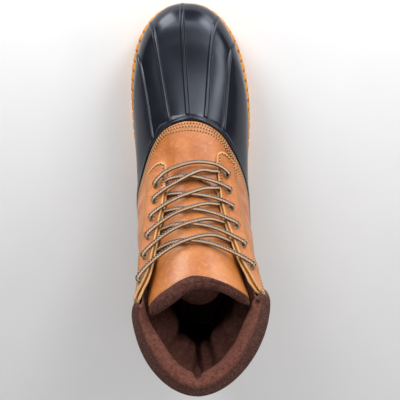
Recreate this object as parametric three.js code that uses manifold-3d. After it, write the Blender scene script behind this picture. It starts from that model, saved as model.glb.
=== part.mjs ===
// A lined duck boot for the right foot: a moulded rubber shell with five toe ribs on a lugged gum
// sole, and a laced leather upper with a padded collar. Millimetres, Z up, toe towards +Y, the
// outer side of the foot towards +X. The origin is the middle of the footprint, on the ground.
import * as THREE from "three";
import { mergeVertices } from "three/addons/utils/BufferGeometryUtils.js";
import Module from "manifold-3d";

const wasm = await Module();
wasm.setup();

// Overall sizes
const LENGTH = 304;
const BALL_WIDTH = 104;
const INFLARE = 11.5;
const VAMP_RISE = 65.5;
const SIDE_RISE = 36;
const COUNTER_RISE = 44;
const COLLAR_LENGTH = 92;
const COLLAR_LEAN = 4;
const COLLAR_RISE = 149;
const THROAT_RISE = 142;
const SHAFT_WIDTH = 98;

// Sole
const HEEL_HEIGHT = 26.5;
const FOREFOOT_HEIGHT = 14.5;
const TOE_SPRING = 9;
const ARCH_RISE = 9;
const SOLE_RIM = 3.2;
const SOLE_PERIMETER = 2.35;
const SIDE_RIB_PITCH = 9;
const SIDE_RIB_DEPTH = 1.3;
const LUG_PITCH = 18;
const LUG_GROOVE = 4;
const LUG_DEPTH = 3.5;

// Rubber shell
const SHELL_WALL = 3;
const SHELL_FLOOR = 3;
const EDGE_SWING = 7;
const BAND_WIDTH = 12;
const BAND_RAISE = 1;
const RIB_WIDTH = 3.4;
const RIB_RAISE = 1.3;
const FLANGE_WIDTH = 12;
const FLANGE_WALL = 1.3;

// Leather, padding and hardware
const LEATHER = 2;
const LEATHER_RAISE = 0.5;
const EYESTAY_LEATHER = 1.6;
const EYESTAY_WIDTH = 21;
const EYESTAY_SETBACK = 1;
const EYESTAY_CORNER = 13;
const EYESTAY_FRONT = -0.36;
const EYESTAY_CLEARANCE = 0.4;
const EYESTAY_SHORT = 0.06;
const EYESTAY_NARROWING = 8;
const EYESTAY_SKEW = 5;
const COLLAR_HEIGHT = 27;
const COLLAR_BULGE = 4.5;
const COLLAR_PAD = 12;
const COLLAR_DEPTH = 34;
const COLLAR_SETBACK = 3;
const TONGUE_THICKNESS = 7;
const INSOLE_THICKNESS = 5;
const EYELETS_A_SIDE = 6;
const EYELET_INSET = 9.5;
const EYELET_FIRST = -0.1;
const EYELET_LAST = 0.82;
const EYELET_HOLE = 2;
const EYELET_HOLE_SIDES = 6;
const EYELET_SIDES = 8;
const EYELET_BARREL = 0.6;
const EYELET_FLANGE = 3.9;
const EYELET_RIM = 0.8;
const LACE = 3.6;
const LACE_BAR_LEAD = 0.16;
const GAP = 0.3;

// Faces of the leather and of the eyestays on it, as distances off the last
const leatherOut = LEATHER_RAISE;
const leatherIn = LEATHER_RAISE - LEATHER;
const overlayIn = LEATHER_RAISE + EYESTAY_CLEARANCE;
const overlayOut = overlayIn + EYESTAY_LEATHER;

const radians = THREE.MathUtils.degToRad;
const clamp = THREE.MathUtils.clamp;
const mix = THREE.MathUtils.lerp;
const smooth = (x, low, high) => THREE.MathUtils.smoothstep(x, low, high);

const spread = (count, from = 0, to = 1) =>
  Array.from({ length: count + 1 }, (_, i) => mix(from, to, i / count));

// Ribs over the toe. angle is round the last from the middle of the toe to the rib's upper end; the inner side is
// negative. lean is how much further towards the outer side the rib starts at the sole.
const RIBS = [
  { angle: -67, lean: 2 },
  { angle: -39.5, lean: 0 },
  { angle: -5, lean: 2.5 },
  { angle: 28.5, lean: 6 },
  { angle: 57, lean: 1 },
];
const RIB_ANGLES = RIBS.map(({ angle }) => radians(angle));

// Angles round the boot that the shell, the leather and the collar share, with one at each rib
const SIDE_ANGLES = [77, 85, 91, 94.5, 98.5, 103.5, 109.5, 116.5, 124.5, 133, 142, 152, 163, 173];
const RING_ANGLES = [
  ...RIB_ANGLES,
  ...[4, 13, 21, 37, 47, 66, -13, -21, -30, -48, -57].map(radians),
  ...SIDE_ANGLES.flatMap((angle) => [radians(angle), -radians(angle)]),
  Math.PI,
].map((angle) => (angle + 2 * Math.PI) % (2 * Math.PI));
const SORTED_ANGLES = [...RING_ANGLES].sort((a, b) => a - b);

// Rings of the last below the leather. front, wide and back are shares of the length, half is a share of
// half the ball width, and vamp, side and counter are shares of the three rises of the shell's edge.
const FOOT_ROWS = [
  { front: 0.986, wide: 0.665, back: 0.013, vamp: 0, side: 0, counter: 0, half: 0.99, toe: 2.26, heel: 3.2, taper: 0.72 },
  { front: 0.9955, wide: 0.66, back: 0.005, vamp: 0.19, side: 0.26, counter: 0.24, half: 1.008, toe: 2.3, heel: 3, taper: 0.76 },
  { front: 0.985, wide: 0.65, back: 0.002, vamp: 0.38, side: 0.46, counter: 0.44, half: 1.006, toe: 2.32, heel: 2.9, taper: 0.78 },
  { front: 0.95, wide: 0.635, back: 0.002, vamp: 0.55, side: 0.6, counter: 0.56, half: 0.997, toe: 2.28, heel: 2.8, taper: 0.8 },
  { front: 0.888, wide: 0.605, back: 0.003, vamp: 0.655, side: 0.68, counter: 0.65, half: 0.985, toe: 2.2, heel: 2.7, taper: 0.82 },
  { front: 0.79, wide: 0.545, back: 0.005, vamp: 0.78, side: 0.75, counter: 0.74, half: 0.971, toe: 2.1, heel: 2.5, taper: 0.84 },
  { front: 0.684, wide: 0.435, back: 0.009, vamp: 0.94, side: 0.84, counter: 0.85, half: 0.96, toe: 1.92, heel: 2.35, taper: 0.87 },
];
const EDGE_ROW = { front: 0.655, wide: 0.411, back: 0.0115, half: 0.955, toe: 1.82, heel: 2.25, taper: 0.89 };

// Rings of the last above the shell's edge, up to the collar. Each place and rise is a share of the way from the
// edge to the collar; the back's shares are negative where the boot hollows in above the heel.
const SHAFT_ROWS = [
  { front: 0.243, wide: 0.12, back: -0.2, vamp: 0.111, side: 0.154, counter: 0.152, half: 0.985, toe: 1.84, heel: 2.1, taper: 0.93 },
  { front: 0.459, wide: 0.27, back: -0.6, vamp: 0.245, side: 0.327, counter: 0.343, half: 0.972, toe: 1.9, heel: 2, taper: 0.95 },
  { front: 0.658, wide: 0.49, back: -0.667, vamp: 0.46, side: 0.54, counter: 0.543, half: 0.965, toe: 1.96, heel: 1.95, taper: 0.97 },
  { front: 0.832, wide: 0.75, back: -0.067, vamp: 0.73, side: 0.77, counter: 0.771, half: 0.975, toe: 2, heel: 1.9, taper: 1 },
  { front: 1, wide: 1, back: 1, vamp: 1, side: 1, counter: 1, half: 1, toe: 2, heel: 1.85, taper: 1 },
];
const COLLAR_WIDE_SHARE = 0.71;
const EDGE = FOOT_ROWS.length;
const TOP = EDGE + SHAFT_ROWS.length;

// The middle of the foot, which swings inwards to the toe: shares of the length and of the inflare
const MIDDLE_LINE = [[0, 0.17], [0.18, -0.03], [0.25, 0.02], [0.32, 0.3], [0.4, 0.52], [0.67, 0.72], [0.88, 0.98], [1, 1.04]];

function alongTable(table, x) {
  let i = 0;
  while (i < table.length - 2 && x > table[i + 1][0]) i += 1;
  const before = table[Math.max(i - 1, 0)];
  const after = table[Math.min(i + 2, table.length - 1)];
  const t = clamp((x - table[i][0]) / (table[i + 1][0] - table[i][0]), 0, 1);
  return catmullRom(before[1], table[i][1], table[i + 1][1], after[1], t);
}

function catmullRom(a, b, c, d, t) {
  const bend = 2 * a - 5 * b + 4 * c - d + (3 * b - a - 3 * c + d) * t;
  return b + 0.5 * t * (c - a + t * bend);
}

const middle = (y) => -INFLARE * alongTable(MIDDLE_LINE, y / LENGTH);

// The sole's upper face, which the shell stands on, and its underside
const toeLift = (share) => TOE_SPRING * Math.pow(clamp((share - 0.66) / 0.34, 0, 2), 2);
const soleTop = (y) => {
  const share = y / LENGTH;
  return mix(HEEL_HEIGHT, FOREFOOT_HEIGHT, smooth(share, 0.2, 0.56)) + toeLift(share);
};
const soleUnder = (y) => {
  const share = y / LENGTH;
  const arch = smooth(share, 0.275, 0.295) * (1 - smooth(share, 0.3, 0.5));
  return ARCH_RISE * arch + toeLift(share);
};

function ringSizes() {
  const foot = FOOT_ROWS.map((row) => ({
    front: row.front * LENGTH,
    wide: row.wide * LENGTH,
    back: row.back * LENGTH,
    vamp: row.vamp * VAMP_RISE,
    side: row.side * SIDE_RISE,
    counter: row.counter * COUNTER_RISE,
    half: (row.half * BALL_WIDTH) / 2,
    toe: row.toe,
    heel: row.heel,
    taper: row.taper,
  }));
  const edge = {
    front: EDGE_ROW.front * LENGTH,
    wide: EDGE_ROW.wide * LENGTH,
    back: EDGE_ROW.back * LENGTH,
    vamp: VAMP_RISE,
    side: SIDE_RISE,
    counter: COUNTER_RISE,
    half: (EDGE_ROW.half * BALL_WIDTH) / 2,
    toe: EDGE_ROW.toe,
    heel: EDGE_ROW.heel,
    taper: EDGE_ROW.taper,
  };
  const collarFront = COLLAR_LENGTH - COLLAR_LEAN;
  const collarWide = mix(-COLLAR_LEAN, collarFront, COLLAR_WIDE_SHARE);
  const shaft = SHAFT_ROWS.map((row) => ({
    front: mix(edge.front, collarFront, row.front),
    wide: mix(edge.wide, collarWide, row.wide),
    back: mix(edge.back, -COLLAR_LEAN, row.back),
    vamp: mix(VAMP_RISE, THROAT_RISE, row.vamp),
    side: mix(SIDE_RISE, THROAT_RISE, row.side),
    counter: mix(COUNTER_RISE, COLLAR_RISE, row.counter),
    half: (row.half * SHAFT_WIDTH) / 2,
    toe: row.toe,
    heel: row.heel,
    taper: row.taper,
  }));
  return [...foot, edge, ...shaft];
}
const RINGS = ringSizes();

function ringAt(level) {
  const i = clamp(Math.floor(level), 0, RINGS.length - 2);
  const t = level - i;
  const at = (k) => RINGS[clamp(k, 0, RINGS.length - 1)];
  const made = {};
  for (const key of Object.keys(RINGS[0])) {
    made[key] =
      t <= 1
        ? catmullRom(at(i - 1)[key], at(i)[key], at(i + 1)[key], at(i + 2)[key], t)
        : mix(at(i)[key], at(i + 1)[key], t);
  }
  return made;
}

// How much the angles are gathered towards the toe, so that they stay evenly spread over the vamp
const gatherAt = (level) =>
  0.45 * clamp(level / (EDGE - 1), 0, 1) * (1 - 0.8 * clamp((level - EDGE) / (TOP - EDGE), 0, 1));

// The angle of the place ahead of the widest line that lies at a share of the half width
function angleAcross(share, level) {
  const turn = Math.asin(Math.pow(share, ringAt(level).toe / 2));
  let angle = turn;
  for (let i = 0; i < 20; i += 1) angle = turn + gatherAt(level) * Math.sin(angle);
  return angle;
}

// A point of the last's skin. angle is 0 at the toe, a quarter turn at the outer side and half a turn at the heel;
// level counts the rings up from the sole.
function skin(angle, level) {
  const ring = ringAt(level);
  const turn = angle - gatherAt(level) * Math.sin(angle);
  const ahead = Math.cos(turn) >= 0;
  const power = 2 / (ahead ? ring.toe : ring.heel);
  const along = Math.pow(Math.abs(Math.cos(turn)), power);
  const across = Math.sign(Math.sin(turn)) * Math.pow(Math.abs(Math.sin(turn)), power);
  const y = mix(ring.wide, ahead ? ring.front : ring.back, along);
  const rise = mix(ring.side, ahead ? ring.vamp : ring.counter, along);
  const narrowing = ahead ? 1 : mix(1, ring.taper, smooth(along, 0, 0.75));
  return new THREE.Vector3(middle(y) + ring.half * narrowing * across, y, soleTop(y) + rise);
}

const STEP = 0.02;
const alongAngle = (angle, level) => skin(angle + STEP, level).sub(skin(angle - STEP, level)).divideScalar(2 * STEP);
const alongLevel = (angle, level) => skin(angle, level + STEP).sub(skin(angle, level - STEP)).divideScalar(2 * STEP);
const outwards = (angle, level) =>
  alongLevel(angle, level).cross(alongAngle(angle, level)).normalize();
const offSkin = (angle, level, out) =>
  skin(angle, level).addScaledVector(outwards(angle, level), out);

// How far a walk of so many millimetres moves the angle or the level
const angleStep = (angle, level, distance) => distance / alongAngle(angle, level).length();
const levelStep = (angle, level, distance) => distance / alongLevel(angle, level).length();

// The shell's edge swings a little below and above the last's ring: degrees round the boot, and shares of the swing
const EDGE_WAVE = [
  [-180, 0], [-125, 0.7], [-88, 1], [-71, 0], [-54, -0.77], [-28, -0.37], [0, -0.19],
  [26, -0.29], [54, -0.46], [71, 0.04], [92, 0.34], [120, 0.5], [180, 0],
];
const wrapped = (angle) => Math.atan2(Math.sin(angle), Math.cos(angle));
function edgeLevel(angle) {
  const wave = alongTable(EDGE_WAVE, THREE.MathUtils.radToDeg(wrapped(angle)));
  return EDGE + levelStep(angle, EDGE, EDGE_SWING * wave);
}

function geometryOf(points, faces) {
  const geometry = new THREE.BufferGeometry().setFromPoints(points);
  const volume = faces.reduce(
    (sum, [a, b, c]) => sum + points[a].dot(points[b].clone().cross(points[c])),
    0,
  );
  const turned = volume < 0 ? faces.map(([a, b, c]) => [a, c, b]) : faces;
  geometry.setIndex(turned.flat());
  return geometry;
}

function quad(faces, a, b, c, d) {
  faces.push([a, b, c], [a, c, d]);
}

// A closed wall between two skins. s runs along the columns and t along the rows, both from 0 to 1.
function wall(columns, rows, outer, inner, round = false) {
  const points = [];
  const faces = [];
  const across = columns.length;
  const cells = round ? across : across - 1;
  for (const face of [outer, inner]) {
    for (const t of rows) for (const s of columns) points.push(face(s, t));
  }
  const index = (side, i, j) => side * across * rows.length + j * across + (i % across);
  for (let j = 0; j < rows.length - 1; j += 1) {
    for (let i = 0; i < cells; i += 1) {
      quad(faces, index(0, i, j), index(0, i + 1, j), index(0, i + 1, j + 1), index(0, i, j + 1));
      quad(faces, index(1, i, j + 1), index(1, i + 1, j + 1), index(1, i + 1, j), index(1, i, j));
    }
  }
  const last = rows.length - 1;
  for (let i = 0; i < cells; i += 1) {
    quad(faces, index(1, i, 0), index(1, i + 1, 0), index(0, i + 1, 0), index(0, i, 0));
    quad(faces, index(0, i, last), index(0, i + 1, last), index(1, i + 1, last), index(1, i, last));
  }
  if (!round) {
    for (let j = 0; j < last; j += 1) {
      quad(faces, index(0, 0, j), index(0, 0, j + 1), index(1, 0, j + 1), index(1, 0, j));
      const end = across - 1;
      quad(faces, index(1, end, j), index(1, end, j + 1), index(0, end, j + 1), index(0, end, j));
    }
  }
  return geometryOf(points, faces);
}

// A closed body from a stack of rings. Each end is closed by a ladder of narrow faces from side to side, so that it
// follows the sole's curve along the foot. The first point of a ring is at the toe and point heelAt is at the heel.
function stack(rings, heelAt) {
  const points = rings.flat();
  const count = rings[0].length;
  const faces = [];
  for (let k = 0; k < rings.length - 1; k += 1) {
    for (let i = 0; i < count; i += 1) {
      const next = (i + 1) % count;
      quad(faces, k * count + i, k * count + next, (k + 1) * count + next, (k + 1) * count + i);
    }
  }
  ladder(faces, points, 0, count, heelAt, true);
  ladder(faces, points, (rings.length - 1) * count, count, heelAt, false);
  return geometryOf(points, faces);
}

function ladder(faces, points, start, count, heelAt, turned) {
  let right = 0;
  let left = 0;
  const leftIndex = (k) => start + ((count - k) % count);
  const leftSteps = count - heelAt;
  while (right < heelAt || left < leftSteps) {
    const rightNext = start + right + 1;
    const leftNext = leftIndex(left + 1);
    const goRight =
      left >= leftSteps || (right < heelAt && points[rightNext].y >= points[leftNext].y);
    const face = goRight
      ? [start + right, rightNext, leftIndex(left)]
      : [start + right, leftNext, leftIndex(left)];
    if (new Set(face).size === 3) faces.push(turned ? face.reverse() : face);
    if (goRight) right += 1;
    else left += 1;
  }
}

function solidOf(geometry) {
  const bare = geometry.clone();
  bare.deleteAttribute("normal");
  bare.deleteAttribute("uv");
  const merged = mergeVertices(bare, 1e-4);
  return new wasm.Manifold(
    new wasm.Mesh({
      numProp: 3,
      vertProperties: merged.attributes.position.array,
      triVerts: new Uint32Array(merged.index.array),
    }),
  );
}

function geometryFrom(solid) {
  const mesh = solid.getMesh();
  return new THREE.BufferGeometry()
    .setAttribute("position", new THREE.BufferAttribute(mesh.vertProperties, 3))
    .setIndex(new THREE.BufferAttribute(mesh.triVerts, 1));
}

// Sole

function outsole() {
  const pitches = Math.round((SOLE_PERIMETER * LENGTH) / SIDE_RIB_PITCH);
  const shares = [0, 0.5, 0.75];
  const angles = evenAngles(pitches, shares);
  const heelAt = angles.findIndex((angle) => angle >= Math.PI);
  const ringAtDepth = (rim, groove, depth) =>
    angles.map((angle, i) => {
      const inGroove = i % shares.length === 2;
      const edge = skin(angle, 0).add(rimStep(angle, inGroove ? groove : rim));
      return edge.setZ(mix(soleTop(edge.y) - GAP, soleUnder(edge.y), depth));
    });
  const rings = [
    ringAtDepth(SOLE_RIM, SOLE_RIM, 0),
    ringAtDepth(SOLE_RIM, SOLE_RIM - SIDE_RIB_DEPTH, 0.3),
    ringAtDepth(SOLE_RIM - SIDE_RIB_DEPTH, SOLE_RIM - 2 * SIDE_RIB_DEPTH, 1),
  ];
  let solid = solidOf(stack(rings, heelAt));
  for (const cutter of lugGrooves()) solid = solid.subtract(cutter);
  return geometryFrom(solid);
}

// Angles at even distances round the sole's edge, with a few points at the given shares of each pitch
function evenAngles(pitches, shares) {
  const fine = spread(720, 0, 2 * Math.PI);
  const lengths = [0];
  for (let i = 1; i < fine.length; i += 1) {
    lengths.push(lengths[i - 1] + skin(fine[i], 0).distanceTo(skin(fine[i - 1], 0)));
  }
  const total = lengths[lengths.length - 1];
  const wanted = spread(pitches).slice(0, -1);
  return wanted.flatMap((start) =>
    shares.map((part) => {
      const at = (start + part / pitches) * total;
      const i = Math.max(1, lengths.findIndex((x) => x >= at));
      return mix(fine[i - 1], fine[i], (at - lengths[i - 1]) / (lengths[i] - lengths[i - 1]));
    }),
  );
}

// A step straight out from the last's outline, level with the ground
function rimStep(angle, distance, level = 0) {
  const along = alongAngle(angle, level).setZ(0).normalize();
  return new THREE.Vector3(along.y, -along.x, 0).multiplyScalar(-distance);
}

// Zigzag grooves across the tread, under the ball and under the heel
function lugGrooves() {
  const zones = [
    [0.03, 0.25],
    [0.52, 0.95],
  ];
  const cutters = [];
  for (const [low, high] of zones) {
    const count = Math.floor(((high - low) * LENGTH) / LUG_PITCH);
    for (const y of spread(count, low * LENGTH, high * LENGTH).slice(1, -1)) {
      cutters.push(lugGroove(y));
    }
  }
  return cutters;
}

function lugGroove(y) {
  const reach = 0.75 * BALL_WIDTH;
  const swing = LUG_PITCH / 4;
  const turns = 4;
  const edge = spread(turns, -reach, reach).map((x, i) => [x, i % 2 ? swing : -swing]);
  const shape = new THREE.Shape();
  edge.forEach(([x, dy], i) => (i ? shape.lineTo(x, dy - LUG_GROOVE / 2) : shape.moveTo(x, dy - LUG_GROOVE / 2)));
  edge.reverse().forEach(([x, dy]) => shape.lineTo(x, dy + LUG_GROOVE / 2));
  const depth = LUG_DEPTH + TOE_SPRING;
  const groove = new THREE.ExtrudeGeometry(shape, { depth, bevelEnabled: false });
  groove.translate(middle(y), y, soleUnder(y) + LUG_DEPTH - depth);
  return solidOf(groove);
}

// Rubber shell

// The shell's columns, with two more beside each rib. Each is an angle at the band, a lean and a walk from it.
function shellColumns() {
  const columns = RING_ANGLES.map((angle, i) => {
    const lean = i < RIBS.length ? radians(RIBS[i].lean) : 0;
    return { angle, lean, walk: 0, rib: i < RIBS.length };
  });
  for (const { angle, lean } of columns.slice(0, RIBS.length)) {
    columns.push({ angle, lean, walk: -RIB_WIDTH / 2 }, { angle, lean, walk: RIB_WIDTH / 2 });
  }
  return columns.sort((a, b) => a.angle + a.walk / 1000 - b.angle - b.walk / 1000);
}

// How high the ribs stand along a panel, from the sole to the band
const RIB_ROWS = [[0.18, 0.25], [0.28, 0.9], [0.4, 1], [0.52, 1], [0.66, 1], [0.82, 1], [0.97, 1]];

function rubberShell() {
  const columns = shellColumns();
  const heelAt = columns.findIndex(({ angle }) => angle === Math.PI);
  const angleOf = ({ angle, walk, lean }, level) =>
    angle + lean * clamp(1 - level / (EDGE - 1), 0, 1) + angleStep(angle, level, walk);
  const bandFoot = (angle) => edgeLevel(angle) - levelStep(angle, EDGE, BAND_WIDTH);
  const outside = (levelOf, out, ribRaise = 0) =>
    columns.map((column) => {
      const level = levelOf(column.angle);
      return offSkin(angleOf(column, level), level, out + (column.rib ? ribRaise : 0));
    });
  const at = (level) => () => level;
  const panel = (share) => (angle) => share * bandFoot(angle);
  const flangeTop = (angle) => edgeLevel(angle) + levelStep(angle, EDGE, FLANGE_WIDTH);
  const flangeOut = leatherIn - 1.5 * GAP;
  const flangeIn = flangeOut - FLANGE_WALL;
  const floor = outside(at(0.3), -SHELL_WALL).map((p) => p.setZ(soleTop(p.y) + SHELL_FLOOR));
  const rings = [
    outside(at(0), 0),
    outside(panel(0.08), 0),
    ...RIB_ROWS.map(([share, raise]) => outside(panel(share), 0, raise * RIB_RAISE)),
    outside((angle) => bandFoot(angle) + 0.02, BAND_RAISE, 0),
    outside((angle) => edgeLevel(angle) - levelStep(angle, EDGE, 0.8), BAND_RAISE),
    outside(edgeLevel, leatherIn),
    outside((angle) => edgeLevel(angle) + 0.03, flangeOut),
    outside(flangeTop, flangeOut),
    outside(flangeTop, flangeIn),
    outside(edgeLevel, flangeIn - 0.4),
    ...[0.8, 0.56, 0.28].map((share) => outside(panel(share), -SHELL_WALL)),
    floor,
  ];
  return stack(rings, heelAt);
}

// Leather upper

// Half of the throat's gap, as shares of half the shaft's width, along the way from the vamp's end to the collar
const THROAT_START = EDGE + 1.8;
const THROAT_GAPS = [[-0.4, 0.41], [0, 0.44], [0.25, 0.49], [0.5, 0.59], [0.75, 0.69], [0.92, 0.81], [1, 0.93]];
const THROAT_LEAN = 0.045;
const throatShare = (level) => (level - THROAT_START) / (TOP - THROAT_START);
const throatLevel = (share) => mix(THROAT_START, TOP, share);
function throatAngle(side, level) {
  const share = clamp(throatShare(level), -0.4, 1);
  return angleAcross(alongTable(THROAT_GAPS, share) - side * THROAT_LEAN * smooth(share, 0.85, 1), level);
}

// The outer eyestay sits further forward than the inner one
const skewLevel = (side, level) => level - side * levelStep(radians(40), level, EYESTAY_SKEW);

// The leather's top edge: up to the top at the throat's corners, and under the collar behind them
const leatherTops = SORTED_ANGLES.map((angle) => {
  const turn = wrapped(angle);
  const corner = throatAngle(Math.sign(turn) || 1, TOP);
  const drop = smooth(Math.abs(turn), corner + radians(4), corner + radians(34));
  return TOP - 0.02 - drop * levelStep(turn, TOP - 0.6, COLLAR_HEIGHT);
});
function leatherTop(angle) {
  const full = 2 * Math.PI;
  const turn = (angle + full) % full;
  const next = SORTED_ANGLES.findIndex((other) => other > turn);
  const i = next < 0 ? SORTED_ANGLES.length : next;
  const at = (list, k) => list[(k + list.length) % list.length];
  const low = at(SORTED_ANGLES, i - 1) - (i === 0 ? full : 0);
  const high = at(SORTED_ANGLES, i) + (i === SORTED_ANGLES.length ? full : 0);
  return mix(at(leatherTops, i - 1), at(leatherTops, i), (turn - low) / (high - low));
}

function throatCutter() {
  const rows = [0, 0.02, 0.06, 0.12, 0.27, 0.45, 0.63, 0.8, 0.93, 1.1];
  const point = (out) => (s, t) => {
    const side = 2 * s - 1;
    const level = throatLevel(t);
    const opening = Math.sqrt(1 - Math.pow(1 - clamp((t + 0.004) / 0.104, 0, 1), 2));
    return offSkin(side * throatAngle(Math.sign(side) || 1, level) * opening, level, out);
  };
  return solidOf(wall(spread(4), rows, point(8), point(-10)));
}

function eyeletFrame(side, index) {
  const level = skewLevel(side, throatLevel(mix(EYELET_FIRST, EYELET_LAST, index / (EYELETS_A_SIDE - 1))));
  const edge = throatAngle(side, level);
  const angle = side * (edge + angleStep(edge, level, EYELET_INSET));
  const out = outwards(angle, level);
  const turn = new THREE.Quaternion().setFromUnitVectors(new THREE.Vector3(0, 1, 0), out);
  return { turn, at: skin(angle, level), out, level };
}

function eyeletHoles(side) {
  return spread(EYELETS_A_SIDE - 1, 0, EYELETS_A_SIDE - 1).map((i) => {
    const { turn, at } = eyeletFrame(side, i);
    const radius = (EYELET_HOLE + EYELET_BARREL + GAP) / Math.cos(Math.PI / EYELET_HOLE_SIDES);
    const hole = new THREE.CylinderGeometry(radius, radius, 14, EYELET_HOLE_SIDES);
    return solidOf(hole.applyQuaternion(turn).translate(at.x, at.y, at.z));
  });
}

// The leather's wall round the boot, or a layer over it, between two distances off the last
function leatherWall(outer, inner) {
  const point = (out) => (angle, t) => {
    const low = EDGE + levelStep(angle, EDGE, 1.8 * GAP);
    const swing = t === 0 ? edgeLevel(angle) - EDGE : 0;
    return offSkin(angle, mix(low, leatherTop(angle), t) + swing, out);
  };
  return solidOf(wall(SORTED_ANGLES, spread(7), point(outer), point(inner), true));
}

function upper(holes) {
  let solid = leatherWall(leatherOut, leatherIn).subtract(throatCutter());
  for (const hole of holes) solid = solid.subtract(hole);
  return geometryFrom(solid);
}

// The outline of an eyestay, along the throat's edge and rounded at its front corner, as a block through the wall
function eyestayOutline(side) {
  const place = (walk, level) => {
    const inner = throatAngle(side, level) + angleStep(1, level, EYESTAY_SETBACK);
    return inner + angleStep(inner, level, walk);
  };
  const point = (out) => (s, t) => {
    const wide = s * EYESTAY_WIDTH;
    const walk = s * (EYESTAY_WIDTH - EYESTAY_NARROWING * smooth(t, 0.84, 1));
    const off = Math.max(EYESTAY_CORNER - wide, 0);
    const rounding = EYESTAY_CORNER - Math.sqrt(EYESTAY_CORNER * EYESTAY_CORNER - off * off);
    const front = skewLevel(side, throatLevel(EYESTAY_FRONT));
    const start = front + levelStep(radians(40), front, rounding);
    let end = TOP;
    for (let i = 0; i < 4; i += 1) end = leatherTop(side * place(walk, end)) - EYESTAY_SHORT;
    const level = mix(start, end, t);
    return offSkin(side * place(walk, level), level, out);
  };
  const columns = [0, 0.05, 0.18, 0.4, 1];
  const rows = [0, 0.2, 0.4, 0.6, 0.8, 0.92, 1];
  return solidOf(wall(columns, rows, point(overlayOut + 2), point(overlayIn - 2)));
}

// A leather facing along the throat's edge
function eyestay(side, holes) {
  let solid = leatherWall(overlayOut, overlayIn).intersect(eyestayOutline(side));
  for (const hole of holes) solid = solid.subtract(hole);
  return geometryFrom(solid);
}

function eyelet(side, index) {
  const { turn, at } = eyeletFrame(side, index);
  const barrel = EYELET_HOLE + EYELET_BARREL;
  const under = overlayOut + 2 * GAP;
  const profile = [
    [EYELET_HOLE, leatherIn],
    [barrel, leatherIn],
    [barrel, under],
    [EYELET_FLANGE, under],
    [EYELET_HOLE, under + EYELET_RIM],
    [EYELET_HOLE, leatherIn],
  ].map(([r, h]) => new THREE.Vector2(r, h));
  return { geometry: new THREE.LatheGeometry(profile, EYELET_SIDES), turn, at };
}

// Padded collar

function collar() {
  const start = (side) => {
    const corner = throatAngle(side, TOP);
    return corner + angleStep(corner, TOP, COLLAR_SETBACK);
  };
  const first = start(1);
  const last = 2 * Math.PI - start(-1);
  const between = SORTED_ANGLES.filter((angle) => angle > first + radians(2) && angle < last - radians(2));
  const columns = [first, ...between, last];
  const section = (angle) => {
    const turn = Math.abs(wrapped(angle));
    const corner = start(Math.sign(wrapped(angle)));
    const padding = mix(0.25, 1, smooth(turn, corner, corner + radians(50)));
    const bulge = leatherOut + COLLAR_BULGE * mix(0.4, 1, smooth(turn, corner, corner + radians(18)));
    const edge = leatherTop(angle) + levelStep(turn, TOP - 0.5, GAP);
    const up = (share, above = 0) => mix(edge, TOP, share) + levelStep(turn, TOP - 0.5, above);
    const down = (depth) => TOP - levelStep(turn, TOP - 1, depth);
    return [
      [up(0, 0.3), leatherOut + 0.1],
      [up(0.3, 0.5), mix(leatherOut, bulge, 0.8)],
      [up(0.65, 1), bulge],
      [up(1, 1.6), mix(leatherOut, bulge, 0.6)],
      [up(1, 4), -0.3 * COLLAR_PAD * padding],
      [up(1, 3), -0.62 * COLLAR_PAD * padding],
      [down(4), -0.9 * COLLAR_PAD * padding],
      [down(0.5 * COLLAR_DEPTH), -COLLAR_PAD * padding],
      [down(COLLAR_DEPTH), mix(leatherIn - 1, -0.75 * COLLAR_PAD, padding)],
      [down(1.06 * COLLAR_DEPTH), leatherIn - 1],
      [up(0, 0.1), leatherIn - 1.5 * GAP],
    ];
  };
  return sweep(columns.map((angle) => section(angle).map(([level, out]) => offSkin(angle, level, out))));
}

// A closed body from sections along a path, each a loop of points, with flat ends
function sweep(sections) {
  const count = sections[0].length;
  const faces = [];
  for (let k = 0; k < sections.length - 1; k += 1) {
    for (let i = 0; i < count; i += 1) {
      const next = (i + 1) % count;
      quad(faces, k * count + i, k * count + next, (k + 1) * count + next, (k + 1) * count + i);
    }
  }
  const endOf = (section, start, turned) => {
    const flat = section.map((p) => new THREE.Vector2(p.x, p.z));
    for (const [a, b, c] of THREE.ShapeUtils.triangulateShape(flat, [])) {
      faces.push(turned ? [start + c, start + b, start + a] : [start + a, start + b, start + c]);
    }
  };
  const first = sections[0].map((p) => new THREE.Vector2(p.x, p.z));
  const last = sections[sections.length - 1].map((p) => new THREE.Vector2(p.x, p.z));
  endOf(sections[0], 0, THREE.ShapeUtils.area(first) > 0);
  endOf(sections[sections.length - 1], (sections.length - 1) * count, THREE.ShapeUtils.area(last) < 0);
  return geometryOf(sections.flat(), faces);
}

// Tongue

// The tongue from under the vamp to its top, by shares of the throat. lift is how far its middle stands off the
// last, arch is how far its sides fall, tilt is the fall's slope in degrees and pad is its thickness.
const TONGUE_ROWS = [
  { share: -0.2, half: 0.4, lift: -3, arch: 0.12, tilt: 85, pad: 0.5 },
  { share: -0.02, half: 0.5, lift: -2.6, arch: 0.22, tilt: 78, pad: 0.55 },
  { share: 0.12, half: 0.55, lift: -0.4, arch: 0.36, tilt: 70, pad: 0.6 },
  { share: 0.3, half: 0.62, lift: 2.6, arch: 0.5, tilt: 60, pad: 0.7 },
  { share: 0.5, half: 0.69, lift: 4.4, arch: 0.58, tilt: 50, pad: 0.8 },
  { share: 0.7, half: 0.73, lift: 5, arch: 0.59, tilt: 42, pad: 0.9 },
  { share: 0.88, half: 0.765, lift: 4.6, arch: 0.54, tilt: 35, pad: 1 },
  { share: 1.02, half: 0.79, lift: 4, arch: 0.49, tilt: 29, pad: 1 },
  { share: 1.12, half: 0.79, lift: 3.6, arch: 0.44, tilt: 26, pad: 0.9 },
];
const TONGUE_LEAN = 0.1;
const TONGUE_BEND = radians(75);

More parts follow.
